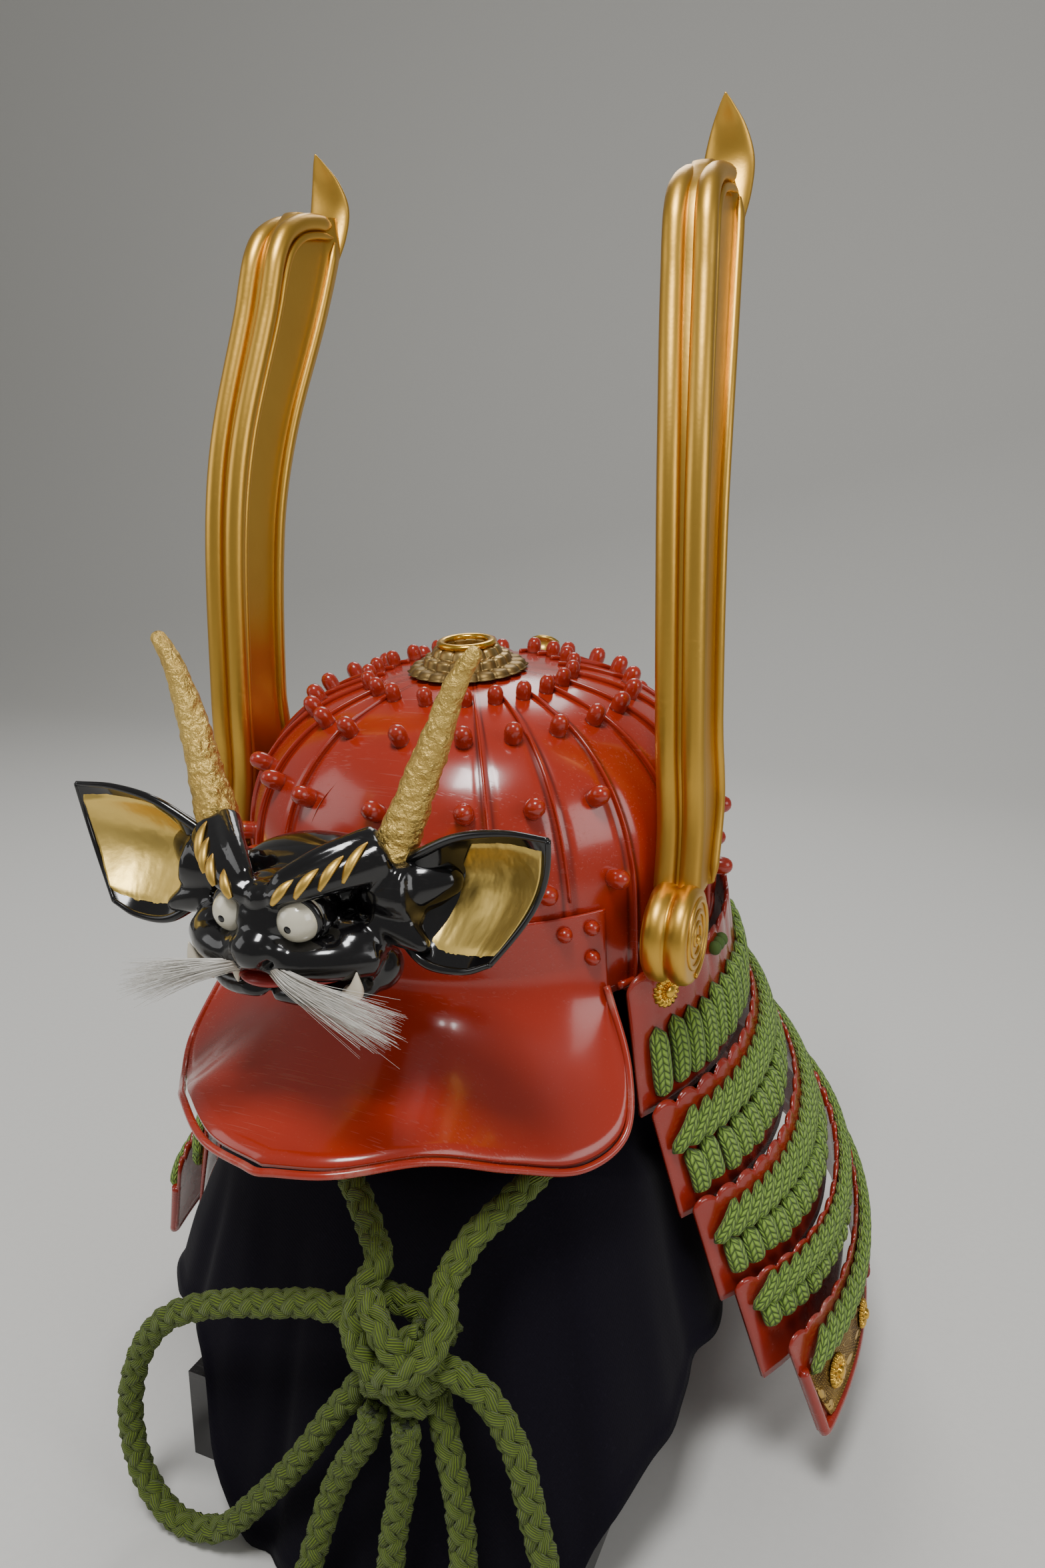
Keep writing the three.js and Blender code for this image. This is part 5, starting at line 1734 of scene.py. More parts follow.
@dataclass
class Mask:
    """The beast's head with its ears, brow strokes, eyes, mouth, fangs, horns and whiskers."""

    finishes: Finishes
    middle: Point = (0.0, -150.0, 63.0)
    balls: Rows = (
        (0, 24, 3, 33, 21, 15.5), (0, -2, 2, 20, 17.5, 14.5), (0, -17, -4, 9.5, 9, 8),
        (8, -15.5, -5.5, 6, 6.5, 5.5),
        (25, 0, -7, 12.5, 12, 9), (33, 4, -17, 6.5, 9.5, 8), (0, -10, 12, 6, 8, 5), (17, -10, -9, 6.5, 7, 6),
    )
    ridges: tuple[Rows, ...] = (
        ((3, -15, 12), (18, -8.5, 17), (35, 12, 21), (3.5, 5.5, 9.5)),
        ((4, -12, 17), (16, -2, 22.5), (32, 14, 26), (2.4, 4.2, 5.5)),
        ((6, -18, -8), (20, -13, -8), (36, 0, -10), (4.5, 7, 6.5)),
        ((0, -16, -20), (18, -12, -22), (33, 1, -20), (3.6, 3.8, 5.5)),
        ((28, 18, 8), (38, 12, 8), (48, 10, 10), (14, 12.5, 10.5)),
        ((0, -20.5, -9.5), (12, -17, -11.5), (30, -4, -13), (2.6, 3.0, 3.0)),
        ((38, 14, 9), (48, 16, 11), (58, 19, 13), (12, 9, 4)),
        ((33, 8, 0), (43, 4, -2), (53, 1, -6), (9, 6, 2)),
    )
    ears: Rows = (
        (0.0, 42, 12, 20, 40, 4, -3, 9), (0.4, 60, 11, 30, 52, -1, -10, 16),
        (0.75, 78, 10, 34, 66, -2, -10, 13), (1.0, 93, 8, 34.5, 75.5, -2, -6, 4),
    )
    eye: Point = (12.6, -10.4, 4.9)
    eye_radius: float = 7.6
    hairs: int = 260
    horn: Rows = (
        (34, 14, 18), (40, 18, 34), (49, 25, 58), (56, 28, 76), (63.7, 30, 87.4),
    )

    def at(self, x: float, y: float, z: float) -> Vector:
        """Return a point given from the face's middle, in the worn helmet's place."""
        return worn(self.middle[0] + x, self.middle[1] + y, self.middle[2] + z)

    def ear(self, side: float, share: float, across: float, lift: float) -> Vector:
        """Return a point of the ear's cupped leaf.

        Args:
            side: 1 for the wearer's left, -1 for the right.
            share: Share from the root to the tip.
            across: Share across, from the top.
            lift: Millimetres behind the face.

        Returns:
            The point.
        """
        tx, ty, tz, lx, ly, lz, cup = (table(self.ears, share, c) for c in range(1, 8))
        bow = sin(pi * across)
        x = mix(tx, lx, across) + 5 * share * bow
        return self.at(x * side, mix(ty, ly, across) + cup * bow + lift, mix(tz, lz, across))

    def build(self) -> list[Piece]:
        """Build the head and everything fixed to it.

        Returns:
            The head, then what each side carries, then the mouth.
        """
        pieces = [self._head()]
        for side, name in SIDES:
            pieces += [
                self._ear_shell(side, name), self._brow(side, name), self._ear_lining(side, name),
                self._horn(side, name),
                self._eye(side, name), self._fang(side, name), self._whisker(side, name),
            ]
        pieces.append(self._mouth())
        return pieces

    def _head(self) -> Piece:
        """Model the head from balls and tapered ridges, and melt them into one skin.

        Returns:
            The head as one piece.
        """
        bench = Bench("Beast Head")
        for side, _ in SIDES:
            for x, y, z, across, deep, tall in self.balls:
                bench.bead(self.at(x * side, y, z), (across, deep, tall), None, 0, 32, 20)
            for a, b, c, radii in self.ridges:
                points = [self.at(p[0] * side, p[1], p[2]) for p in (a, b, c)]
                stops = Line(points).stops(24)
                rows = ((0.0, radii[0]), (0.5, radii[1]), (1.0, radii[2]))
                bench.rod(
                    stops, lambda v, rows=rows: table(rows, v, 1) * min(1.0, 0.35 + 9 * min(v, 1 - v)), 20
                )
        head = bench.leave([self.finishes.black], "black_lacquer", ["beast_head"])
        keep(head, "REMESH", mode="VOXEL", voxel_size=1.05 * MM, use_smooth_shade=True)
        keep(head, "SMOOTH", factor=0.5, iterations=7)
        settled(head)
        self._carve(head)
        return head

    def _ear_shell(self, side: float, name: str) -> Piece:
        """Return the ear: a cupped, pointed leaf of black lacquer with a rounded edge.

        Args:
            side: 1 for the wearer's left, -1 for the right.
            name: The side's name.

        Returns:
            The ear.
        """
        bench = Bench(f"Ear {name.title()}")

        def face(u: float, v: float) -> Vector:
            """Return a point of the face, which is filled near the head and hollow further out."""
            filled = table(self.ears, v, 7) * sin(pi * u) * (1 - ease(v / 0.46))
            return self.ear(side, v, u, -0.2 - filled)

        def back(u: float, v: float) -> Vector:
            """Return a point of the ear's back, thicker in the middle."""
            full = sin(pi * u) ** 0.6 * (1 - 0.6 * v)
            return self.ear(side, v, u, 1.6 + 4.2 * full)

        bench.slab(40, 48, face, back)
        for edge in (0.0, 1.0):
            stops = Line([self.ear(side, i / 16, edge, 0.6) for i in range(17)]).stops(60)
            bench.rod(stops, lambda v: mix(2.0, 0.9, v), 12)
        stops = Line([self.ear(side, 1.0, i / 12, 0.6) for i in range(13)]).stops(40)
        bench.rod(stops, lambda v: 0.95, 12)
        return bench.leave([self.finishes.black], "black_lacquer")

    def _carve(self, head: Piece) -> None:
        """Sink the eye sockets, the nostrils, the mouth and the folds between the cheeks.

        Args:
            head: The melted head.
        """
        hollows = [
            (12.6, -11.5, 4.9, 10.6, 6.5), (6.2, -23.0, -6.8, 3.0, 4.5), (0.0, -18.0, -15.5, 10.5, 7.0)
        ]
        folds = [((9, -17, 1), (22, -9, -2), 2.4, 2.0), ((24, -10, -13.5), (38, 2, -9), 2.4, 2.4),
                 ((17, -12, -14), (30, -5, -18), 2.6, 2.6)]
        mesh = head.data
        bm = bmesh.new()
        bm.from_mesh(mesh)
        bm.normal_update()
        inside = faced(0, 1, 0)
        for vert in bm.verts:
            push = 0.0
            for side, _ in SIDES:
                for x, y, z, reach, depth in hollows:
                    away = (vert.co - self.at(x * side, y, z)).length / MM
                    push = max(push, depth * ease(1 - away / reach) * 0.75)
                for a, b, reach, depth in folds:
                    start, end = self.at(a[0] * side, a[1], a[2]), self.at(b[0] * side, b[1], b[2])
                    span = end - start
                    share = min(1.0, max(0.0, (vert.co - start).dot(span) / span.length_squared))
                    away = (vert.co - start - span * share).length / MM
                    push = max(push, depth * ease(1 - away / (reach * 2.2)))
            if push and vert.normal.dot(inside) < 0.3:
                vert.co += inside * push * MM
        bm.to_mesh(mesh)
        bm.free()
        for polygon in mesh.polygons:
            polygon.use_smooth = True

    def _brow(self, side: float, name: str) -> Piece:
        """Lay four short tapered gold strokes side by side over the brow.

        Args:
            side: 1 for the wearer's left, -1 for the right.
            name: The side's name.

        Returns:
            The strokes.
        """
        bench = Bench(f"Brow Strokes {name.title()}")
        ridge, radii = self.ridges[0][:3], self.ridges[0][3]
        line = Line([Vector(p) for p in ridge])
        rows = ((0.0, radii[0]), (0.5, radii[1]), (1.0, radii[2]))
        for i in range(4):
            points = []
            for n in range(6):
                share = 0.1 + 0.19 * i + 0.028 * n
                lean = radians(mix(-8, 84, n / 5))
                r = table(rows, share, 1) + 0.25
                place = line.at(share) + Vector((0.25, -cos(lean), sin(lean) * 1.02)) * r
                points.append(self.at(place.x * side, place.y, place.z))
            stops = Line(points).stops(30, faced(0, -1, 0.6))
            bench.rod(stops, lambda v: 1.75 * sin(pi * min(1, 0.12 + v * 0.86)) ** 0.8, 12, 0.6)
        return bench.leave([self.finishes.brow], "leaf_gold")

    def _ear_lining(self, side: float, name: str) -> Piece:
        """Line the ear's hollow with crumpled leaf.

        Args:
            side: 1 for the wearer's left, -1 for the right.
            name: The side's name.

        Returns:
            The lining.
        """
        bench = Bench(f"Ear Lining {name.title()}")

        def share_at(u: float, v: float) -> float:
            """Return the share along the ear, with the leaf's inner end cut aslant."""
            return mix(mix(0.5, 0.32, u) - 0.1 * sin(pi * u), 0.965, v)

        def face(u: float, v: float) -> Vector:
            """Return a point of the lining's rumpled face.

            Args:
                u: Share of the way across the ear.
                v: Share of the way to its tip.

            Returns:
                The point, in metres.
            """
            share = share_at(u, v)
            rough = 0.22 * noise.noise(Vector((share * 14, u * 9, side)))
            rough += 0.14 * noise.noise(Vector((share * 48, u * 40, 4)))
            round_off = 1.2 * ease(abs(2 * u - 1) * 6 - 5)
            return self.ear(side, share, mix(0.08, 0.93, u), -1.2 + rough * 0.8 + round_off)

        def back(u: float, v: float) -> Vector:
            """Return a point of the lining's back, sunk in the ear."""
            return self.ear(side, share_at(u, v), mix(0.08, 0.93, u), 0.8)

        bench.slab(48, 60, face, back, (30.0, 50.0))
        return bench.leave([self.finishes.ear_leaf], "leaf_gold", [f"ear_lining_{name}"])

    def _horn(self, side: float, name: str) -> Piece:
        """Raise one horn, dented and wrapped in leaf.

        Args:
            side: 1 for the wearer's left, -1 for the right.
            name: The side's name.

        Returns:
            The horn.
        """
        bench = Bench(f"Horn {name.title()}")
        steps = 110
        stops = Line([self.at(x * side, y, z) for x, y, z in self.horn]).stops(steps)
        rows = ((0.0, 8.0), (0.3, 6.3), (0.6, 5.0), (0.9, 3.2), (1.0, 2.6))

        def place(u: float, v: float) -> Vector:
            """Return a point of the horn's crumpled skin.

            Args:
                u: Share of the way round.
                v: Share of the way to the tip.

            Returns:
                The point, in metres.
            """
            stop = stops[round(v * steps)]
            turn = tau * u
            way = stop.side * cos(turn) + stop.up * sin(turn)
            rounding = sqrt(max(0.0, 1 - max(0.0, (v - 0.955) / 0.045) ** 2))
            crumple = 1 + 0.1 * noise.noise((stop.place + way * 6 * MM) * 190 + Vector((side * 3, 0, 0)))
            crumple += 0.09 * noise.noise((stop.place + way * 6 * MM) * 420)
            return stop.place + way * table(rows, v, 1) * crumple * rounding * MM

        bench.panel(48, 96, place, (40.0, 90.0))
        return bench.leave([self.finishes.leaf], "leaf_gold", [f"horn_{name}"])

    def _eye(self, side: float, name: str) -> Piece:
        """Set the eye: a pearly ball, a black pupil and a black lid round it.

        Args:
            side: 1 for the wearer's left, -1 for the right.
            name: The side's name.

        Returns:
            The eye.
        """
        bench = Bench(f"Eye {name.title()}")
        x, y, z = self.eye
        centre = self.at(x * side, y, z)
        ahead = faced(0.04 * side, -1, -0.02)
        turn = ahead.to_track_quat("Z", "Y").to_matrix()
        bench.bead(centre, (self.eye_radius,) * 3, turn, 0, 40, 24)
        bench.bead(centre + ahead * 5.85 * MM, (2.3, 2.3, 2.0), turn, 1, 24, 12)

        def lid(u: float, v: float) -> Vector:
            """Return a point of the rounded lid.

            Args:
                u: Share of the way round.
                v: Share of the way over.

            Returns:
                The point, in metres.
            """
            a, b = tau * u, tau * v
            r = self.eye_radius + 0.1 + 1.3 * cos(b)
            spot_out = turn @ Vector((r * cos(a), r * sin(a), 0.2 + 1.3 * sin(b)))
            return centre + spot_out * MM

        bench.panel(48, 12, lid, (1.0, 1.0), 1)
        return bench.leave([self.finishes.pearl, self.finishes.black], "ivory", [f"eye_{name}"])

    def _mouth(self) -> Piece:
        """Fill the open mouth with a red tongue and throat.

        Returns:
            The mouth as one piece.
        """
        bench = Bench("Mouth")
        bench.bead(self.at(0, -5.2, -15.5), (26.5, 13.5, 3.9), HELMET_PLACE.to_3x3(), 0, 48, 24)
        bench.bead(self.at(0, -13.5, -15.8), (11, 7.5, 2.6), HELMET_PLACE.to_3x3(), 0, 32, 16)
        return bench.leave([self.finishes.mouth_red], "mouth_red", ["mouth"])

    def _fang(self, side: float, name: str) -> Piece:
        """Set one fang and the two small teeth beside it.

        Args:
            side: 1 for the wearer's left, -1 for the right.
            name: The side's name.

        Returns:
            The teeth.
        """
        bench = Bench(f"Fang {name.title()}")
        points = [
            self.at(x * side, y, z) for x, y, z in ((27, -7.9, -22), (32, -12, -17), (33.5, -12.5, -10))
        ]
        rows = ((0.0, 3.5), (0.5, 2.8), (1.0, 0.25))
        bench.rod(Line(points).stops(20), lambda v: table(rows, v, 1), 16)
        for x, y, size in ((17.5, -13.8, 2.0), (10.5, -16.8, 1.7)):
            tooth = [
                self.at(x * side, y, -13.2), self.at(x * side, y - 0.6, -16.2),
                self.at(x * side, y - 0.5, -18.6)
            ]
            bench.rod(Line(tooth).stops(10), lambda v, size=size: size * (1 - 0.85 * v**1.4), 12)
        return bench.leave([self.finishes.ivory], "ivory", [f"fang_{name}"])

    def _whisker(self, side: float, name: str) -> Piece:
        """Plant the brush of loose white hair beside the snout.

        Args:
            side: 1 for the wearer's left, -1 for the right.
            name: The side's name.

        Returns:
            The brush.
        """
        bench = Bench(f"Whisker {name.title()}")
        chance = random.Random(11 if side > 0 else 12)
        for i in range(self.hairs):
            stray = i % 6 == 0
            spin, reach = chance.uniform(0, 2 * pi), sqrt(chance.random())
            dx, dz = cos(spin) * reach, sin(spin) * reach
            length = chance.uniform(0.62, 1.12)
            fan = 9.5 if stray else 6.0
            droop = chance.uniform(-3, 2.5)
            root = (4.5 + 1.2 * dz, -19 + 1.2 * dx, -9.5 + 1.4 * dz)
            mid = (mix(6, 23, length), -25 + 3.2 * dx, -11.5 + 3.4 * dz)
            end = (mix(18, 51, length), -24 + fan * dx, -21.5 + fan * dz + droop)
            points = [self.at(x * side, y, z) for x, y, z in (root, mid, end)]
            thick = chance.uniform(0.1, 0.19)
            stops = Line(points, 6).stops(9)
            bench.rod(stops, lambda v, thick=thick: thick * (1 - 0.75 * v), 3)
        return bench.leave([self.finishes.hair], "white_hair", [f"whisker_{name}"])


@dataclass
class SideCrest:
    """One tall gilt side crest: a beaded board with a leaf tip and a scroll boss at its foot."""

    finishes: Finishes
    side: float
    name: str
    height: float = 304.0
    thickness: float = 21.0
    depth: float = 45.0
    boss: Point = (108.0, -54.0, 23.0)
    turns: float = 3.1
    rows: Rows = (
        (0.1, 0.351, -1.13, 0.78, 0.95), (0.2, 0.349, -0.93, 0.93, 0.95), (0.31, 0.345, -0.85, 0.82, 0.98),
        (0.55, 0.338, -0.62, 0.85, 1.0), (0.685, 0.331, -0.38, 0.95, 1.05), (0.85, 0.316, 0.11, 1.08, 1.14),
        (0.95, 0.309, 0.42, 1.12, 1.1), (0.992, 0.306, 0.82, 0.8, 0.9),
    )
    section: Rows = (
        (0.07, 0.0), (0.08, 0.3), (0.12, 0.62), (0.18, 0.66), (0.3, 0.655), (0.5, 0.65), (0.7, 0.655),
        (0.8, 0.66),
        (0.83, 0.8), (0.9, 0.86), (0.96, 0.8), (0.995, 0.55), (1.0, 0.0),
    )

    def at(self, rise: float, along: float, sideways: float) -> Vector:
        """Return a point of the board.

        Args:
            rise: Share of the height.
            along: Share from the front edge to the rear.
            sideways: Share of the half thickness, out from the wearer being positive.

        Returns:
            The point in the scene.
        """
        out, front, depth, wide = (table(self.rows, rise, c) for c in range(1, 5))
        x = out * self.height + sideways * self.thickness * wide / 2
        return worn(self.side * x, (front + along * depth) * self.depth, rise * self.height)

    def build(self) -> list[Piece]:
        """Build the crest as one piece.

        Returns:
            The crest alone.
        """
        bench = Bench(f"Side Crest {self.name.title()}")
        self._board(bench)
        self._tip(bench)
        self._boss(bench)
        return [
            bench.leave(
                [self.finishes.satin], "satin_gold", [f"side_crest_{self.name}", f"crest_seat_{self.name}"]
            )
        ]

    def _board(self, bench: Bench) -> None:
        """Sweep the beaded section up the board.

        Args:
            bench: The piece's bench.
        """
        ring = [*self.section, *[(a, -s) for a, s in reversed(self.section[1:-1])]]
        count = len(ring)

        def place(u: float, v: float) -> Vector:
            """Return a point of the board's skin.

            Args:
                u: Share of the way round the section.
                v: Share of the way up the board.

            Returns:
                The point, in metres.
            """
            along, sideways = ring[round(u * count) % count]
            rise = mix(0.1, 0.992, v)
            fade = 1 - 0.35 * ease((v - 0.93) * 14)
            return self.at(rise, along, sideways * fade)

        verts = bench.panel(count, 120, place, (100.0, 270.0))
        for hand in (1.0, -1.0):
            verts += self._bead(bench, 0.08, 0.5 * hand, (4.6, 4.0), 0.93)
            verts += self._bead(bench, 0.19, 0.74 * hand, (1.4, 1.6), 0.9)
            verts += self._bead(bench, 0.85, 0.78 * hand, (2.2, 2.2), 0.955)
        up = faced(0, 0, 1)
        foot = self.at(0.12, 0.5, 0)
        bench.tone(verts, lambda co: 0.4 * ease(1 - (co - foot).dot(up) / (45 * MM)))

    def _bead(
        self, bench: Bench, along: float, sideways: float, radii: tuple[float, float], turn: float
    ) -> list[Vert]:
        """Run one raised bead up the board and over its rounded top.

        Args:
            bench: The crest's bench.
            along: Share from the front edge to the rear.
            sideways: Share of the half thickness.
            radii: Half its width across the board and along it, in millimetres.
            turn: The share of the height at which it turns over.

        Returns:
            The bead's vertices.
        """
        spots = [(mix(0.1, turn, i / 24), along) for i in range(25)]
        if along < 0.5:
            top = 0.992 - along * 0.16
            spots += [
                (mix(turn, top, 0.55), along + 0.03), (mix(turn, top, 0.88), along + 0.14),
                (top, along + 0.34), (top + 0.001, 0.68), (top, 0.82),
            ]
        stops = Line([self.at(rise, a, sideways) for rise, a in spots], 8).stops(150, Vector((1, 0, 0)))
        across = faced(1, 0, 0)
        squared = [Stop(p.place, p.along, across, p.along.cross(across).normalized()) for p in stops]

        def half(v: float) -> float:
            """Return half the bead's width, drawn in at its ends."""
            return radii[0] * min(1.0, 0.3 + 30 * min(v, 1 - v))

        return bench.rod(squared, half, 14, radii[1] / radii[0])

    def _tip(self, bench: Bench) -> None:
        """Add the leaf that stands on the rear of the top.

        Args:
            bench: The piece's bench.
        """
        rows = ((0.0, 258.0, 50.5, 2.4, 6.0), (0.2, 278.0, 61.5, 3.2, 8.8), (0.4, 293.0, 71.5, 3.8, 10.6),
                (0.58, 306.0, 77.0, 3.5, 10.4), (0.76, 317.0, 75.8, 2.5, 7.2), (0.92, 325.0, 71.4, 1.1, 2.7),
                (1.0, 328.4, 69.3, 0.3, 0.3))

        def place(u: float, v: float) -> Vector:
            """Return a point of the leaf, ridged down the middle of its face.

            Args:
                u: Share of the way round the section.
                v: Share of the way to the tip.

            Returns:
                The point, in metres.
            """
            z, middle, half, wide = (table(rows, v, c) for c in range(1, 5))
            turn = tau * u
            c, s = cos(turn), sin(turn)
            ridge = 0.55 + 0.45 * abs(s)
            x = 94.9 + wide * copysign(abs(c) ** 0.8, c)
            return worn(self.side * x, middle + half * copysign(abs(s) ** 0.7, s) * ridge, z)

        bench.panel(40, 44, place, (40.0, 40.0))

    def _boss(self, bench: Bench) -> None:
        """Turn the round boss and coil a raised spiral on each of its faces.

        Args:
            bench: The piece's bench.
        """
        x, y, z = self.boss
        axis = worn(self.side * x, y, z)
        across = faced(self.side, 0, 0)
        place = seated(axis, across)
        profile = (
            (0.0, -8.6), (16.0, -8.6), (18.2, -8.3), (19.4, -6.6), (19.6, -4.4), (19.2, -2.2),
            (17.9, -0.7), (17.3, 0.0), (17.9, 0.7),
            (19.2, 2.2), (19.6, 4.4), (19.4, 6.6), (18.2, 8.3), (16.0, 8.6), (0.0, 8.6),
        )
        bench.spun(profile, 64, place)
        for face in (1.0, -1.0):
            points = []
            for i in range(73):
                share = i / 72
                angle = -pi / 2 + face * share * tau * self.turns
                r = mix(16.4, 2.4, share)
                points.append(place @ (Vector((r * cos(angle), r * sin(angle), face * 8.7)) * MM))
            stops = Line(points, 6).stops(240, across)
            bench.rod(stops, lambda v: mix(1.25, 1.0, v), 10, 0.7)
            bench.bead(points[-1], (2.2, 2.2, 1.6), place.to_3x3(), 0, 20, 12)


@dataclass
class NeckGuard:
    """The five laced plates with their lacing and gilt corners."""

    finishes: Finishes
    half_width: float = 181.0
    drop: float = 209.0
    top: float = 4.0
    wall: float = 2.0
    edges: tuple[tuple[tuple[float, ...], tuple[float, ...]], ...] = (
        ((0.0, 0.6095, 0.6, 0.64, 0.02, -0.335), (0.3, 0.652, 0.663, 0.72, 0.02, -0.365)),
        ((0.258, 0.675, 0.683, 0.74, 0.03, -0.365), (0.52, 0.772, 0.69, 0.83, 0.04, -0.365)),
        ((0.464, 0.79, 0.7, 0.85, 0.04, -0.365), (0.705, 0.89, 0.69, 0.91, 0.04, -0.365)),
        ((0.641, 0.912, 0.7, 0.935, 0.04, -0.365), (0.88, 0.945, 0.79, 0.985, 0.02, -0.365)),
        ((0.752, 0.973, 0.86, 1.015, 0.02, -0.365), (1.0, 1.0, 1.15, 1.12, -0.02, -0.348)),
    )
    pitch: float = 13.0

    def edge(self, row: tuple[float, ...], u: float, lift: float) -> Vector:
        """Return a point of one edge of a plate.

        Args:
            row: The edge: drop, wide, ahead, behind, shift and front, as shares of the half width.
            u: Share from the wearer's left front round to the right front.
            lift: Millimetres out from the plate's inner face.

        Returns:
            The point in the upright helmet's millimetres.
        """
        drop, wide, ahead, behind, shift, front = row
        start = -asin(min(1.0, (shift - front) / ahead))
        turn = mix(start, pi - start, u)
        reach = ahead if sin(turn) < 0 else behind
        return Vector((
            (wide * self.half_width + lift) * cos(turn),
            shift * self.half_width + (reach * self.half_width + lift) * sin(turn),
            self.top - drop * self.drop,
        ))

    def at(self, lame: int, u: float, v: float, lift: float) -> Vector:
        """Return a point of a plate: lame 1 to 5, share round it, share down it and lift."""
        upper, lower = self.edges[lame - 1]
        return self.edge(upper, u, lift).lerp(self.edge(lower, u, lift), v)

    def span(self, lame: int, v: float) -> float:
        """Return the plate's length round the helmet, in millimetres."""
        points = [self.at(lame, i / 60, v, 0) for i in range(61)]
        return sum((b - a).length for a, b in zip(points, points[1:]))

    def build(self) -> list[Piece]:
        """Build the plates, then the lacing, then the gilding.

        Returns:
            All pieces of the neck guard.
        """
        pieces = [self._plate(lame) for lame in range(1, 6)]
        pieces += self._laces()
        for side, name in SIDES:
            pieces += self._gilding(side, name)
        return pieces

    def _plate(self, lame: int) -> Piece:
        """Bend one lacquered plate, with scalloped scale heads and soft upright ribs.

        Args:
            lame: The plate's number.

        Returns:
            The plate.
        """
        bench = Bench(f"Neck Plate {lame}")
        count = max(20, round(self.span(lame, 0.1) / self.pitch))
        ribbed = 1.0 if lame < 5 else 0.6

        def place(u: float, v: float) -> Vector:
            """Return a point of the outer face, the lower edge, the inner face and the scalloped top.

            Args:
                u: Share of the way round the helmet.
                v: Share of the way round the section.

            Returns:
                The point, in metres.
            """
            wave = abs(sin(pi * count * u))
            crest = 0.075 * (1 - wave**0.7)
            if v <= 0.5 or v > 0.999:
                level = v * 2 if v <= 0.5 else 0.0
                shown = mix(crest, 1.0, level)
                bulge = ribbed * 0.7 * wave**0.7 * ease(1.6 - level * 1.7)
                edge_roll = 0.5 * ease((level - 0.955) * 22)
                return worn(*self.at(lame, u, shown, self.wall + bulge - 0.3 + edge_roll))
            back = (1 - v) * 2
            return worn(*self.at(lame, u, mix(crest, 1.0, back), 0.0))

        columns = min(count * 8, 400)
        verts = bench.panel(columns, 33, place, (self.span(lame, 0.5), 60.0))
        low = self.edges[lame - 1][1][0]
        bench.tone(verts, lambda co: 0.55 * ease(0.2 + noise.noise(co * 90)) * (0.3 if low < 1 else 1.0))
        if lame == 5:
            for side, _ in SIDES:
                self._rim(bench, side)
        return bench.leave([self.finishes.lame_red], "vermilion_lacquer", [f"neck_plate_{lame}"])

    def _rim(self, bench: Bench, side: float) -> None:
        """Raise the round red bead that frames the lowest plate's front corner.

        Args:
            bench: The piece's bench.
            side: 1 for the wearer's left, -1 for the right.
        """
        points = [self.at(5, sided(side, 0.003), mix(0.35, 0.985, i / 10), 2.4) for i in range(11)]
        points += [self.at(5, sided(side, mix(0.006, 0.2, i / 16)), 0.992, 2.4) for i in range(17)]
        stops = Line([worn(*p) for p in points], 6).stops(120)
        bench.rod(stops, lambda v: 2.5, 12)

    def _laces(self) -> list[Piece]:
        """Lay every lacing band as its own piece.

        Returns:
            The rows of loops and slanted laces, and the two braids.
        """
        f = self.finishes
        pieces = []
        for lame, high, low in ((1, 0.4, 0.85), (2, 0.45, 0.78), (3, 0.45, 0.73), (4, 0.3, 0.5)):
            pieces.append(self._loops(f"Lacing Loops {lame}", lame, high, low, f"lacing_loops_{lame}"))
        for lame, high, low in ((2, 0.17, 0.38), (3, 0.17, 0.38), (4, 0.08, 0.25), (5, 0.16, 0.38)):
            pieces.append(self._slants(lame, high, low))
        mixed = (f.white, f.dark, f.green, f.white, f.pink, f.green)
        pieces.append(self._plait("Mixed Braid", mixed, "mixed_braid", 0.44, 0.6, 4.2, "lacing_mixed", 0.09))
        pieces.append(
            self._plait("Red Braid", (f.crimson,), "red_braid", 0.66, 0.92, 6.0, "lacing_red", 0.12)
        )
        return pieces

    def _loops(self, title: str, lame: int, high: float, low: float, node: str) -> Piece:
        """Tie a row of upright knitted loops.

        Args:
            title: The piece's name.
            lame: The plate's number.
            high: Share down the plate of the loops' tops.
            low: Share down the plate of their feet.
            node: The solid that the row takes the place of.

        Returns:
            The row.
        """
        bench = Bench(title)
        chance = random.Random(lame)
        count = round(self.span(lame, 0.6) / (self.pitch * 0.82))
        first, last = 0.012, 0.988
        for i in range(count):
            u = mix(first, last, (i + 0.5) / count)
            nudge = chance.uniform(-0.0016, 0.0016)
            reach = chance.uniform(-0.02, 0.02)
            step = (last - first) / count
            stops = []
            for n in range(10):
                share = n / 9
                v = mix(high - 0.03 + reach, low + 0.03 + reach, share)
                swell = sin(pi * min(1, max(0, share))) ** 0.5
                across = u + nudge * sin(share * 3)
                place = worn(*self.at(lame, across, v, self.wall + 1.0 + 1.9 * swell))
                beside = worn(*self.at(lame, across + step * 0.2, v, self.wall + 1.0 + 1.9 * swell))
                below = worn(*self.at(lame, across, v + 0.02, self.wall + 1.0 + 1.9 * swell))
                along = (below - place).normalized()
                side = (beside - place).normalized()
                stops.append(Stop(place, along, side, along.cross(side).normalized()))
            width = self.span(lame, 0.6) * step * 0.5 * 0.97

            def half(v: float, width: float = width) -> float:
                """Return half the loop's width along its length."""
                return width * (1 - abs(2 * v - 1) ** 5) ** 0.5 if 0 < v < 1 else 0.05

            bench.rod(stops, half, 10, 0.6)
        return bench.leave([self.finishes.green], "green_silk", [node])

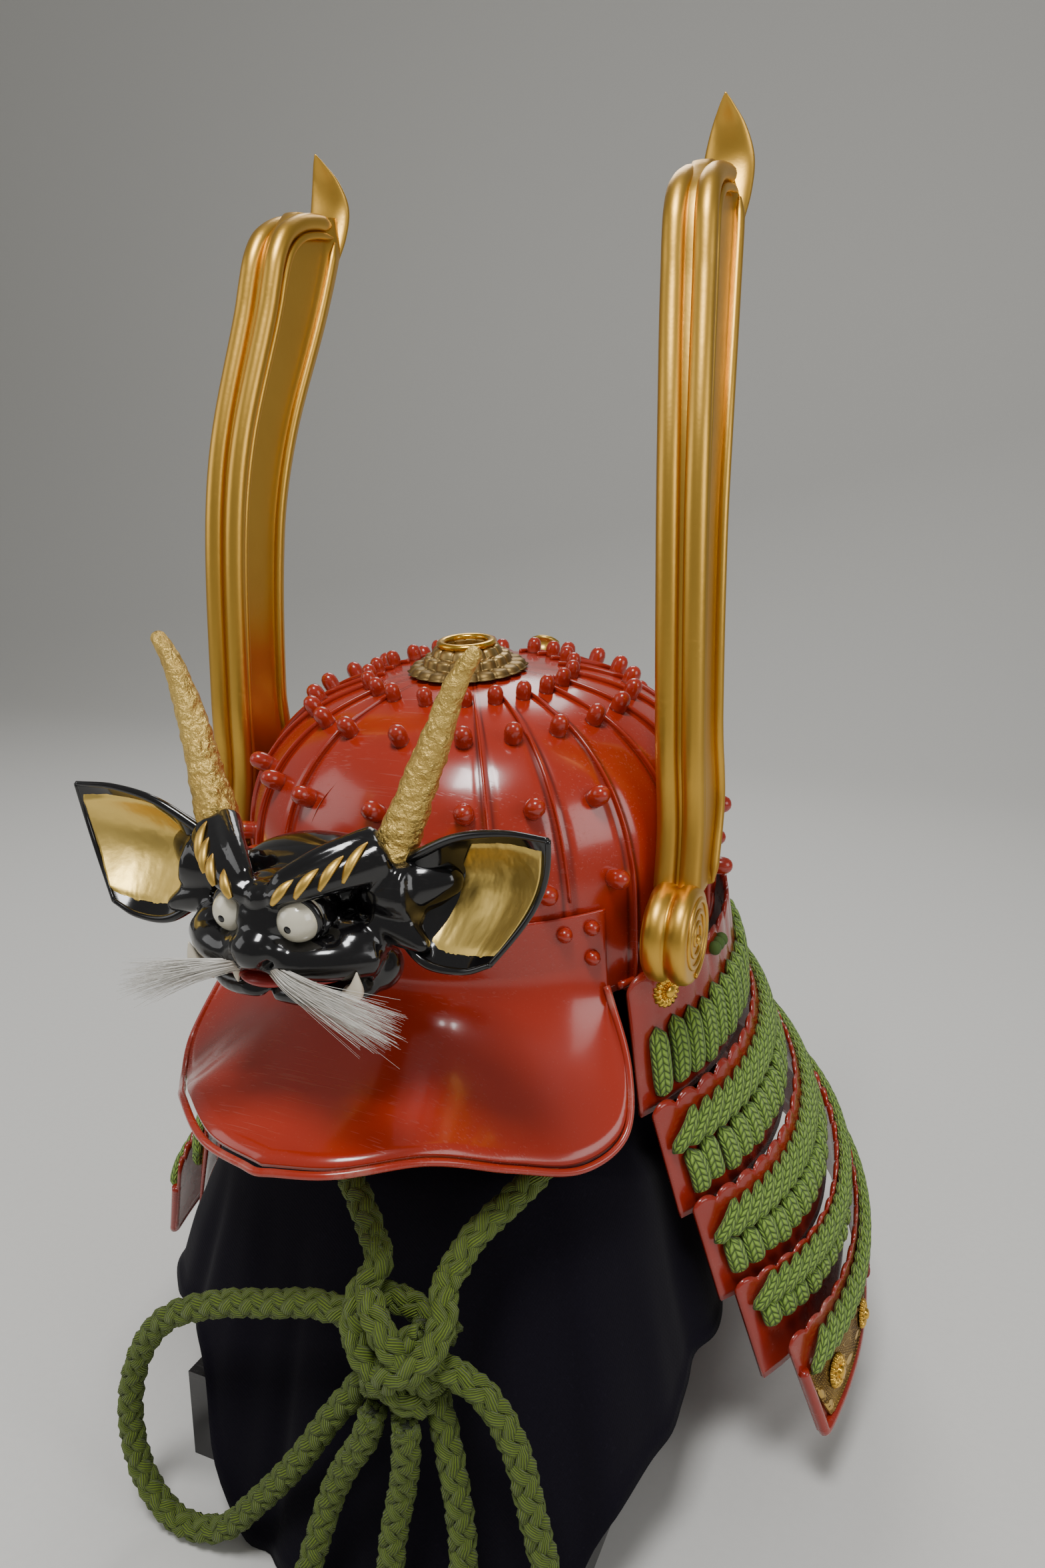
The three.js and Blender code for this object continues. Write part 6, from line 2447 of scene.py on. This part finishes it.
    def _station(self, lame: int, u: float, v: float, lift: float, moves: Point) -> Stop:
        """Return a lace's station on a plate, square to the plate.

        Args:
            lame: The plate's number.
            u: Share round the plate.
            v: Share down the plate.
            lift: Millimetres out from the plate's inner face.
            moves: Small shares to a point beside it, and to a point ahead of it round and down the plate.

        Returns:
            The station.
        """
        place = worn(*self.at(lame, u, v, lift))
        beside = worn(*self.at(lame, u + moves[0], v, lift))
        ahead = worn(*self.at(lame, u + moves[1], v + moves[2], lift))
        along = (ahead - place).normalized()
        up = along.cross((beside - place).normalized()).normalized()
        return Stop(place, along, up.cross(along), up)

    def _slants(self, lame: int, high: float, low: float) -> Piece:
        """Tie a row of short slanted laces that overlap each other below the plate above.

        Args:
            lame: The plate's number.
            high: Share down the plate of its top.
            low: Share down the plate of its foot.

        Returns:
            The row.
        """
        bench = Bench(f"Lacing Slants {lame}")
        chance = random.Random(30 + lame)
        length = self.span(lame, 0.25)
        count = round(length / (self.pitch * 0.68))
        for i in range(count):
            u = mix(0.014, 0.986, (i + 0.5) / count)
            lean = (1 if u > 0.5 else -1) * 19.0 / length
            stops = []
            for n in range(9):
                share = n / 8
                v = mix(high - 0.02, low + 0.02, share)
                across = u + lean * (share - 0.5) + chance.uniform(-1, 1) * 0.0003
                lift = self.wall + 1.2 + 1.8 * sin(pi * share) ** 0.6 + 1.2 * share
                stops.append(self._station(lame, across, v, lift, (0.004, lean * 0.1, (low - high) * 0.1)))
            bench.rod(stops, lambda v: 3.7 * max(0.02, 1 - abs(2 * v - 1) ** 5) ** 0.5, 10, 0.7)
        return bench.leave([self.finishes.green], "green_silk", [f"lacing_slant_{lame}"])

    def _plait(self, title: str, colours: Sequence[bpy.types.Material], slot: str, high: float, low: float,
               pitch: float, node: str, first: float) -> Piece:
        """Plait a flat braid along the lowest plate out of short leaning strands.

        Args:
            title: The piece's name.
            colours: The strands' materials, used in turn.
            slot: The name of a material slot, passed to the bench.
            high: Share down the plate of its top.
            low: Share down the plate of its foot.
            pitch: Millimetres from strand to strand.
            node: The solid that it takes the place of.
            first: The share round the plate where it starts on either side.

        Returns:
            The braid.
        """
        bench = Bench(title)
        length = self.span(5, (high + low) / 2)
        count = round(length * (1 - 2 * first) / pitch)
        middle = (high + low) / 2
        for row, (a, b, way) in enumerate(((high, middle + 0.012, 1), (middle - 0.012, low, -1))):
            for i in range(count):
                u = mix(first, 1 - first, (i + 0.5) / count)
                stops = []
                for n in range(8):
                    share = n / 7
                    v = mix(a, b, share)
                    across = u + way * (share - 0.5) * pitch * 1.3 / length
                    lift = self.wall + 1.3 + 1.5 * sin(pi * share) ** 0.7
                    moves = (0.003, way * pitch * 0.13 / length, (b - a) * 0.1)
                    stops.append(self._station(5, across, v, lift, moves))
                shade = (i + row * 2) % len(colours)
                bench.rod(
                    stops, lambda v: pitch * 0.56 * max(0.05, 1 - abs(2 * v - 1) ** 4) ** 0.5, 7, 0.62,
                    shade
                )
        return bench.leave(colours, slot, [node])

    def _gilding(self, side: float, name: str) -> list[Piece]:
        """Fix the corner plate, its studs and the front tie on one side.

        Args:
            side: 1 for the wearer's left, -1 for the right.
            name: The side's name.

        Returns:
            The pieces.
        """
        bench = Bench(f"Corner Plate {name.title()}")
        levels = (
            (0.0, 0.4, 0.005, 0.045), (0.1, 0.425, 0.005, 0.05), (0.5, 0.7, 0.008, 0.086),
            (1.0, 0.94, 0.012, 0.112)
        )

        def place(u: float, v: float) -> Vector:
            """Return a point of the plate's face, edge and back.

            Args:
                u: Share of the way across.
                v: Share of the way over the face and back.

            Returns:
                The point, in metres.
            """
            share = min(1.0, v * 2) if v <= 0.5 else (1 - v) * 2
            level, near, far = (table(levels, share, c) for c in (1, 2, 3))
            edge = min(u, 1 - u, share, 1 - share)
            lip = 0.7 * ease(1 - abs(edge - 0.035) / 0.03)
            lift = (3.5 + lip) if v <= 0.5 or v > 0.999 else 2.3
            return worn(*self.at(5, sided(side, mix(near, far, u)), level, lift))

        bench.panel(56, 81, place, (60.0, 64.0))
        plate = bench.leave([self.finishes.stamped], "antique_gold", [f"corner_plate_{name}"])
        pieces = [plate]
        studs = (("corner_stud_low", 5, 0.03, 0.66, 3.9, 7.0), ("corner_stud_high", 5, 0.085, 0.8, 3.9, 6.5),
                 ("front_stud", 1, 0.04, 0.2, 1.2, 7.0))
        for title, lame, u, v, lift, radius in studs:
            pieces.append(self._flower(self._seat(lame, sided(side, u), v, lift), radius, f"{title}_{name}"))
        bench = Bench(f"Front Tie {name.title()}")
        seat = self._seat(1, sided(side, 0.12), 0.14, 3.4)
        for n in range(3):
            middle = seat @ (Vector(((n - 1) * 4.3, 0, 0.2)) * MM)
            bench.bead(middle, (2.5, 3.2, 2.9), seat.to_3x3(), 0, 16, 12)
        pieces.append(bench.leave([self.finishes.green], "green_silk", [f"front_tie_{name}"]))
        return pieces

    def _seat(self, lame: int, u: float, v: float, lift: float) -> Matrix:
        """Return the place of something fixed square to a plate.

        Args:
            lame: The plate's number.
            u: Share round the plate.
            v: Share down the plate.
            lift: Millimetres out from the plate's inner face.

        Returns:
            The place.
        """
        here = self.at(lame, u, v, lift)
        side = (self.at(lame, u + 0.004, v, lift) - self.at(lame, u - 0.004, v, lift)).normalized()
        down = (self.at(lame, u, v + 0.02, lift) - self.at(lame, u, v - 0.02, lift)).normalized()
        out = side.cross(down).normalized()
        if out.dot(self.at(lame, u, v, lift + 4) - here) < 0:
            out = -out
        axes = Matrix((side, out.cross(side), out)).transposed()
        return Matrix.Translation(worn(*here)) @ (HELMET_PLACE.to_3x3() @ axes).to_4x4()

    def _flower(self, seat: Matrix, radius: float, node: str) -> Piece:
        """Emboss a chrysanthemum stud of sixteen petals round a domed eye.

        Args:
            seat: Its place.
            radius: Its radius, in millimetres.
            node: The solid that it takes the place of.

        Returns:
            The stud.
        """
        bench = Bench(title_of(node))
        rows = (
            (0.0, 0.0, 0.0), (0.08, 1.0, 0.0), (0.16, 1.03, 0.9), (0.3, 0.93, 1.9), (0.5, 0.68, 2.5),
            (0.62, 0.46, 1.9), (0.7, 0.4, 2.0), (0.82, 0.36, 3.2), (0.92, 0.2, 3.8), (1.0, 0.0, 4.0),
        )

        def place(u: float, v: float) -> Vector:
            """Return a point of the petals and the eye.

            Args:
                u: Share of the way round.
                v: Share of the way under, round and over the flower.

            Returns:
                The point, in metres.
            """
            turn = tau * u
            r, z = table(rows, v, 1), max(0.0, table(rows, v, 2))
            petal = abs(cos(8 * turn))
            if 0.06 < v < 0.66:
                r *= 1 - 0.09 * (1 - petal**0.6)
                z -= 0.9 * (1 - petal**0.5) * ease((v - 0.06) * 9)
            return seat @ (Vector((radius * r * cos(turn), radius * r * sin(turn), z)) * MM)

        verts = bench.panel(128, 30, place, (40.0, 10.0))
        foot = seat.translation
        out = seat.to_3x3() @ Vector((0, 0, 1))
        bench.tone(verts, lambda co: 0.8 * ease(1 - (co - foot).dot(out) / (1.9 * MM)))
        return bench.leave([self.finishes.bright], "bright_gold", [node])


@dataclass
class DrapedStand:
    """The lacquered stand and the dark cloth over it."""

    finishes: Finishes
    top: float = 351.4
    crown: float = 46.0
    wall: float = 1.6
    behind: float = -13.0
    waist: float = 0.42
    skirt: float = 0.58
    crown_rows: Rows = (
        (0.0, 0.0), (0.65, 3.4), (1.0, 10.0), (1.12, 28.0), (0.98, 110.0), (1.35, 160.0),
    )
    drape: Rows = (
        (-180, 132, 128, 138, 58), (-135, 136, 130, 140, 62), (-90, 112, 140, 122, 74),
        (-70, 108, 148, 128, 80),
        (-56, 118, 156, 140, 84), (-42, 124, 160, 148, 82), (-30, 122, 164, 152, 76), (-19, 118, 166, 156, 8),
        (-8, 114, 166, 154, 2), (8, 112, 166, 152, 2), (22, 116, 170, 158, 2), (34, 118, 172, 162, 10),
        (42, 120, 172, 160, 48), (56, 118, 162, 146, 66), (70, 108, 150, 132, 76), (90, 112, 142, 122, 72),
        (135, 136, 130, 140, 60), (180, 132, 128, 138, 58),
    )

    def at(self, u: float, v: float, inset: float) -> Vector:
        """Return a point of the cloth.

        Args:
            u: Share round it, from the back by the wearer's right to the back again.
            v: 0 at the crown's middle, 0.5 at the shoulder, 1 at the hem.
            inset: Millimetres in from its outer face.

        Returns:
            The point in the scene.
        """
        angle = mix(-180, 180, u)
        turn = radians(angle)
        shoulder, level, hem, foot = (table(self.drape, angle, c) for c in range(1, 5))
        wave = cos(9 * turn + 0.6)
        fold = 1.6 * noise.noise(Vector((sin(turn) * 3.1, cos(turn) * 3.1, v * 1.4))) * ease(v * 4)
        crease = self._creases(angle, v)
        if v < self.waist:
            share = v / self.waist
            r, down = self._crown(share)
            flutes = 1 + 0.05 * cos(6 * turn) * min(1.0, r / self.crown)
            reach = max(0.0, r * flutes - inset * min(1.0, share * 6) + fold * share)
            drop = inset if share < 0.35 else 0.0
            return spot(reach * sin(turn), self.behind - reach * cos(turn), self.top - down - drop)
        if v < self.skirt:
            share = (v - self.waist) / (self.skirt - self.waist)
            radius = mix(1.35 * self.crown, shoulder, share) - inset + fold
            height = mix(self.top - 160, level, share**1.3) + 6 * sin(share * pi) - inset * (1 - share)
            shift = self.behind * (1 - share)
            return spot(radius * sin(turn), shift - radius * cos(turn), height)
        share = (v - self.skirt) / (1 - self.skirt)
        blend = ease(share * 1.4)
        sag = 2.2 * sin(pi * min(1.0, share * 1.5))
        radius = mix(shoulder, hem, share) + 2.5 * wave * blend - inset + fold + crease - sag * 0.4
        radius += 1.8 * ease((share - 0.94) * 16)
        return spot(radius * sin(turn), -radius * cos(turn), mix(level, foot, share))

    def _crown(self, share: float) -> tuple[float, float]:
        """Return the cloth's radius and drop over the pad and down the post.

        Args:
            share: Share from the crown's middle down the post.

        Returns:
            The radius and the drop, in millimetres.
        """
        r = table([(i / 5, row[0]) for i, row in enumerate(self.crown_rows)], share, 1) * self.crown
        down = table([(i / 5, row[1]) for i, row in enumerate(self.crown_rows)], share, 1)
        return max(0.0, r), max(0.0, down)

    def _creases(self, angle: float, v: float) -> float:
        """Return how far the long hanging folds stand out from the cloth.

        Args:
            angle: Degrees round from the front, the wearer's left being positive.
            v: Share down the cloth.

        Returns:
            The millimetres.
        """
        folds = (
            (-24, 3.0, 3.4, 1), (-13, 2.6, -4.0, 1), (2, 3.4, -3.0, 0.5), (12, 2.6, 2.6, 1),
            (20, 2.4, -3.6, 1), (29, 3.0, 3.2, 1), (38, 2.4, -3.4, 1), (-36, 3.0, -4.0, 1),
            (-50, 5.0, 2.8, 1), (54, 3.6, 2.8, 1), (66, 4.0, -4.0, 1), (110, 6.0, -4.0, 1),
            (-100, 6.0, -4.0, 1), (150, 7.0, -4.0, 1), (-160, 7.0, -4.0, 1),
        )
        fall = ease((v - 0.6) * 3.2)
        return sum(
            rise * fall * exp(-(((angle - at - 3 * (v - 0.8) * hang) / wide) ** 2)) for at, wide, rise,
            hang in folds
        )

    def build(self) -> list[Piece]:
        """Drape the cloth and give the stand's solids their finishes.

        Returns:
            The cloth, the cushion and the pad.
        """
        bench = Bench("Draped Cloth")
        bench.panel(330, 76, lambda u, v: self.at(u, v, 0.0), (900.0, 600.0), weld=False)
        bmesh.ops.remove_doubles(bench.bm, verts=bench.bm.verts, dist=2e-6)
        area = sum(f.calc_area() for f in bench.bm.faces)
        cloth = bench.leave([self.finishes.cloth], "purple_cloth", ["stand_cloth"])
        keep(cloth, "SOLIDIFY", thickness=self.wall * MM, offset=-1.0)
        flat = (self._reach(0.25) + self._reach(0.75), self._reach(0.5) + self._reach(0.0))
        pieces = [cloth, self._cushion(), self._pad()]
        LOG.info("cloth: %.0f x %.0f mm, %.3f square metres", flat[0] / MM, flat[1] / MM, area)
        for name, finish in (
            ("stand_base", self.finishes.stand_black), ("stand_post", self.finishes.stand_black),
            ("mask_post", self.finishes.black),
        ):
            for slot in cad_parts[name].material_slots:
                slot.link = "OBJECT"
                slot.material = finish
        return pieces

    def _cushion(self) -> Piece:
        """Stuff the broad cushion on the base, with a piped seam round it and gathers beside the seam.

        Returns:
            The cushion as one piece.
        """
        bench = Bench("Stand Cushion")
        middle, tall = 96.97, 63.0

        def form(turn: float, rise: float, lift: float) -> Vector:
            """Return a point of the cushion at an angle and a height share, lifted off its skin.

            Args:
                turn: Angle in radians.
                rise: Share of the height.
                lift: Distance off the skin, in millimetres.

            Returns:
                The point, in metres.
            """
            reach = sqrt(max(0.0, 1 - rise * rise))
            level = copysign(abs(rise) ** 0.8, rise)
            near = exp(-((rise / 0.16) ** 2))
            gather = 1 - near * (0.012 + 0.006 * cos(46 * turn))
            across, deep = (size * reach * gather + lift for size in (114.0, 121.0))
            return spot(across * sin(turn), -deep * cos(turn), middle + tall * max(-0.82, level))

        def skin(u: float, v: float) -> Vector:
            """Return a point of the cushion's skin."""
            return form(tau * u, sin(pi * (v - 0.5)), 0.0)

        bench.panel(150, 40, skin, (700.0, 300.0))

        def piping(u: float, v: float) -> Vector:
            """Return a point of the cord sewn into the seam."""
            a = tau * v
            return form(tau * u, 0.0, -0.2 + 1.4 * cos(a)) + spot(0, 0, 1.6 * sin(a))

        bench.panel(140, 8, piping, (700.0, 10.0))
        cushion = bench.leave([self.finishes.felt], "pad_black", ["stand_cushion"])
        return cushion

    def _pad(self) -> Piece:
        """Stuff the small pad on the post that carries the bowl.

        Returns:
            The pad as one piece.
        """
        bench = Bench("Stand Pad")
        rows = (
            (0.0, 0.0, 0.0), (0.25, 0.86, 0.0), (0.32, 0.95, 0.08), (0.45, 1.0, 0.4), (0.65, 0.88, 0.78),
            (0.85, 0.55, 0.95), (1.0, 0.0, 1.0)
        )

        def place(u: float, v: float) -> Vector:
            """Return a point of the pad, drawn in a little at its eight panels' seams.

            Args:
                u: Share of the way round.
                v: Share of the way up.

            Returns:
                The point, in metres.
            """
            turn = tau * u
            seam = 1 - 0.02 * (1 - abs(sin(4 * turn)) ** 0.3)
            r = max(0.0, table(rows, v, 1)) * 38.0 * seam
            height = self.top - 3.2 - 34.0 + 34.0 * max(0.0, table(rows, v, 2))
            return spot(r * sin(turn), self.behind - r * cos(turn), height)

        bench.panel(128, 40, place, (240.0, 60.0))
        pad = bench.leave([self.finishes.felt], "pad_black", ["stand_pad"])
        return pad

    def _reach(self, u: float) -> float:
        """Return the cloth's length from the crown's middle to its hem."""
        points = [self.at(u, i / 60, 0.0) for i in range(61)]
        return sum((b - a).length for a, b in zip(points, points[1:]))


class View:
    """The photo's camera, its light and its floor."""

    place = Vector((0.2087, -0.4438, 0.422))
    ahead = Vector((-0.381, 0.8936, -0.2368))
    lens = 24.9
    sweep_from = 1.4
    sweep_radius = 0.9
    sweep_length = 1.41

    def set_up(self, pieces: Sequence[Piece]) -> None:
        """Place the camera and the lights, and lay the pale floor.

        Args:
            pieces: The pieces of the helmet.
        """
        camera = shown("Camera", bpy.data.cameras.new("Camera"))
        camera.data.lens = self.lens
        camera.data.sensor_fit = "VERTICAL"
        camera.data.sensor_height = 36.0
        camera.data.clip_start = 0.01
        camera.data.dof.use_dof = False
        camera.location = self.place
        camera.rotation_euler = self.ahead.to_track_quat("-Z", "Y").to_euler()
        bpy.context.scene.camera = camera
        stage = [self._floor()]
        for name, spot_at, goal, power, size in (
            ("Key", (0.15, -0.75, 1.75), (0, -0.05, 0.3), 19.0, 0.4),
            ("Fill", (-1.3, -0.8, 0.9), (0, 0, 0.25), 4.0, 0.9),
            ("Rim", (-0.4, 1.1, 1.5), (0, 0, 0.35), 9.0, 0.7),
            ("Side", (1.3, -0.4, 0.8), (0, -0.1, 0.2), 5.0, 0.7),
        ):
            light = shown(name, bpy.data.lights.new(name, "AREA"))
            light.data.energy = power
            light.data.size = size
            light.location = spot_at
            way = Vector(goal) - Vector(spot_at)
            light.rotation_euler = way.to_track_quat("-Z", "Y").to_euler()
            stage.append(light)
        world = bpy.data.worlds.new("Studio")
        world.use_nodes = True
        world.node_tree.nodes["Background"].inputs["Color"].default_value = (0.8, 0.8, 0.78, 1)
        world.node_tree.nodes["Background"].inputs["Strength"].default_value = 0.3
        bpy.context.scene.world = world
        LOG.info("%d pieces on the stage", len(pieces))

    def _floor(self) -> Piece:
        """Return the pale floor, curved up behind the stand.

        Returns:
            The floor as one piece.
        """
        bm = bmesh.new()
        made = bmesh.ops.create_grid(bm, x_segments=2, y_segments=120, size=1.0)["verts"]
        for vert in made:
            along = (vert.co.y + 1) / 2 * 9.0 - 2.5
            bend = max(0.0, along - self.sweep_from)
            turn = min(bend, self.sweep_length) / self.sweep_radius
            level = min(along, self.sweep_from) + self.sweep_radius * sin(turn)
            rise = self.sweep_radius * (1 - cos(turn)) + max(0.0, bend - self.sweep_length)
            vert.co = Vector((vert.co.x * 5.0, level, rise))
        for face in bm.faces:
            face.smooth = True
        mesh = bpy.data.meshes.new("Floor")
        bm.to_mesh(mesh)
        bm.free()
        material = bpy.data.materials.new("Floor paper")
        material.use_nodes = True
        wires = Wires(material.node_tree)
        shader = material.node_tree.nodes["Principled BSDF"]
        where = wires.spots()
        grain = wires.ramp(wires.noise(where, 260.0, 3.0), 0.3, 0.8)
        paper = wires.blend(wires.times(grain, 0.15), (0.74, 0.73, 0.7, 1), (0.6, 0.59, 0.57, 1))
        wires.feed(shader, Base_Color=paper, Roughness=0.85)
        mesh.materials.append(material)
        return shown("Floor", mesh)


def main() -> None:
    """Build every part of the helmet and set up its view."""
    logging.basicConfig(level=logging.INFO, format="%(relativeCreated)d ms: %(message)s")
    finishes = Finishes()
    bowl = Bowl(finishes)
    pieces = ChinCord(finishes).build()
    pieces += bowl.build()
    pieces += Crown(finishes, bowl).build()
    pieces += Visor(finishes, bowl).build()
    pieces += Mask(finishes).build()
    for side, name in SIDES:
        pieces += SideCrest(finishes, side, name).build()
    pieces += NeckGuard(finishes).build()
    pieces += DrapedStand(finishes).build()
    View().set_up(pieces)


if __name__ == "__main__":
    main()
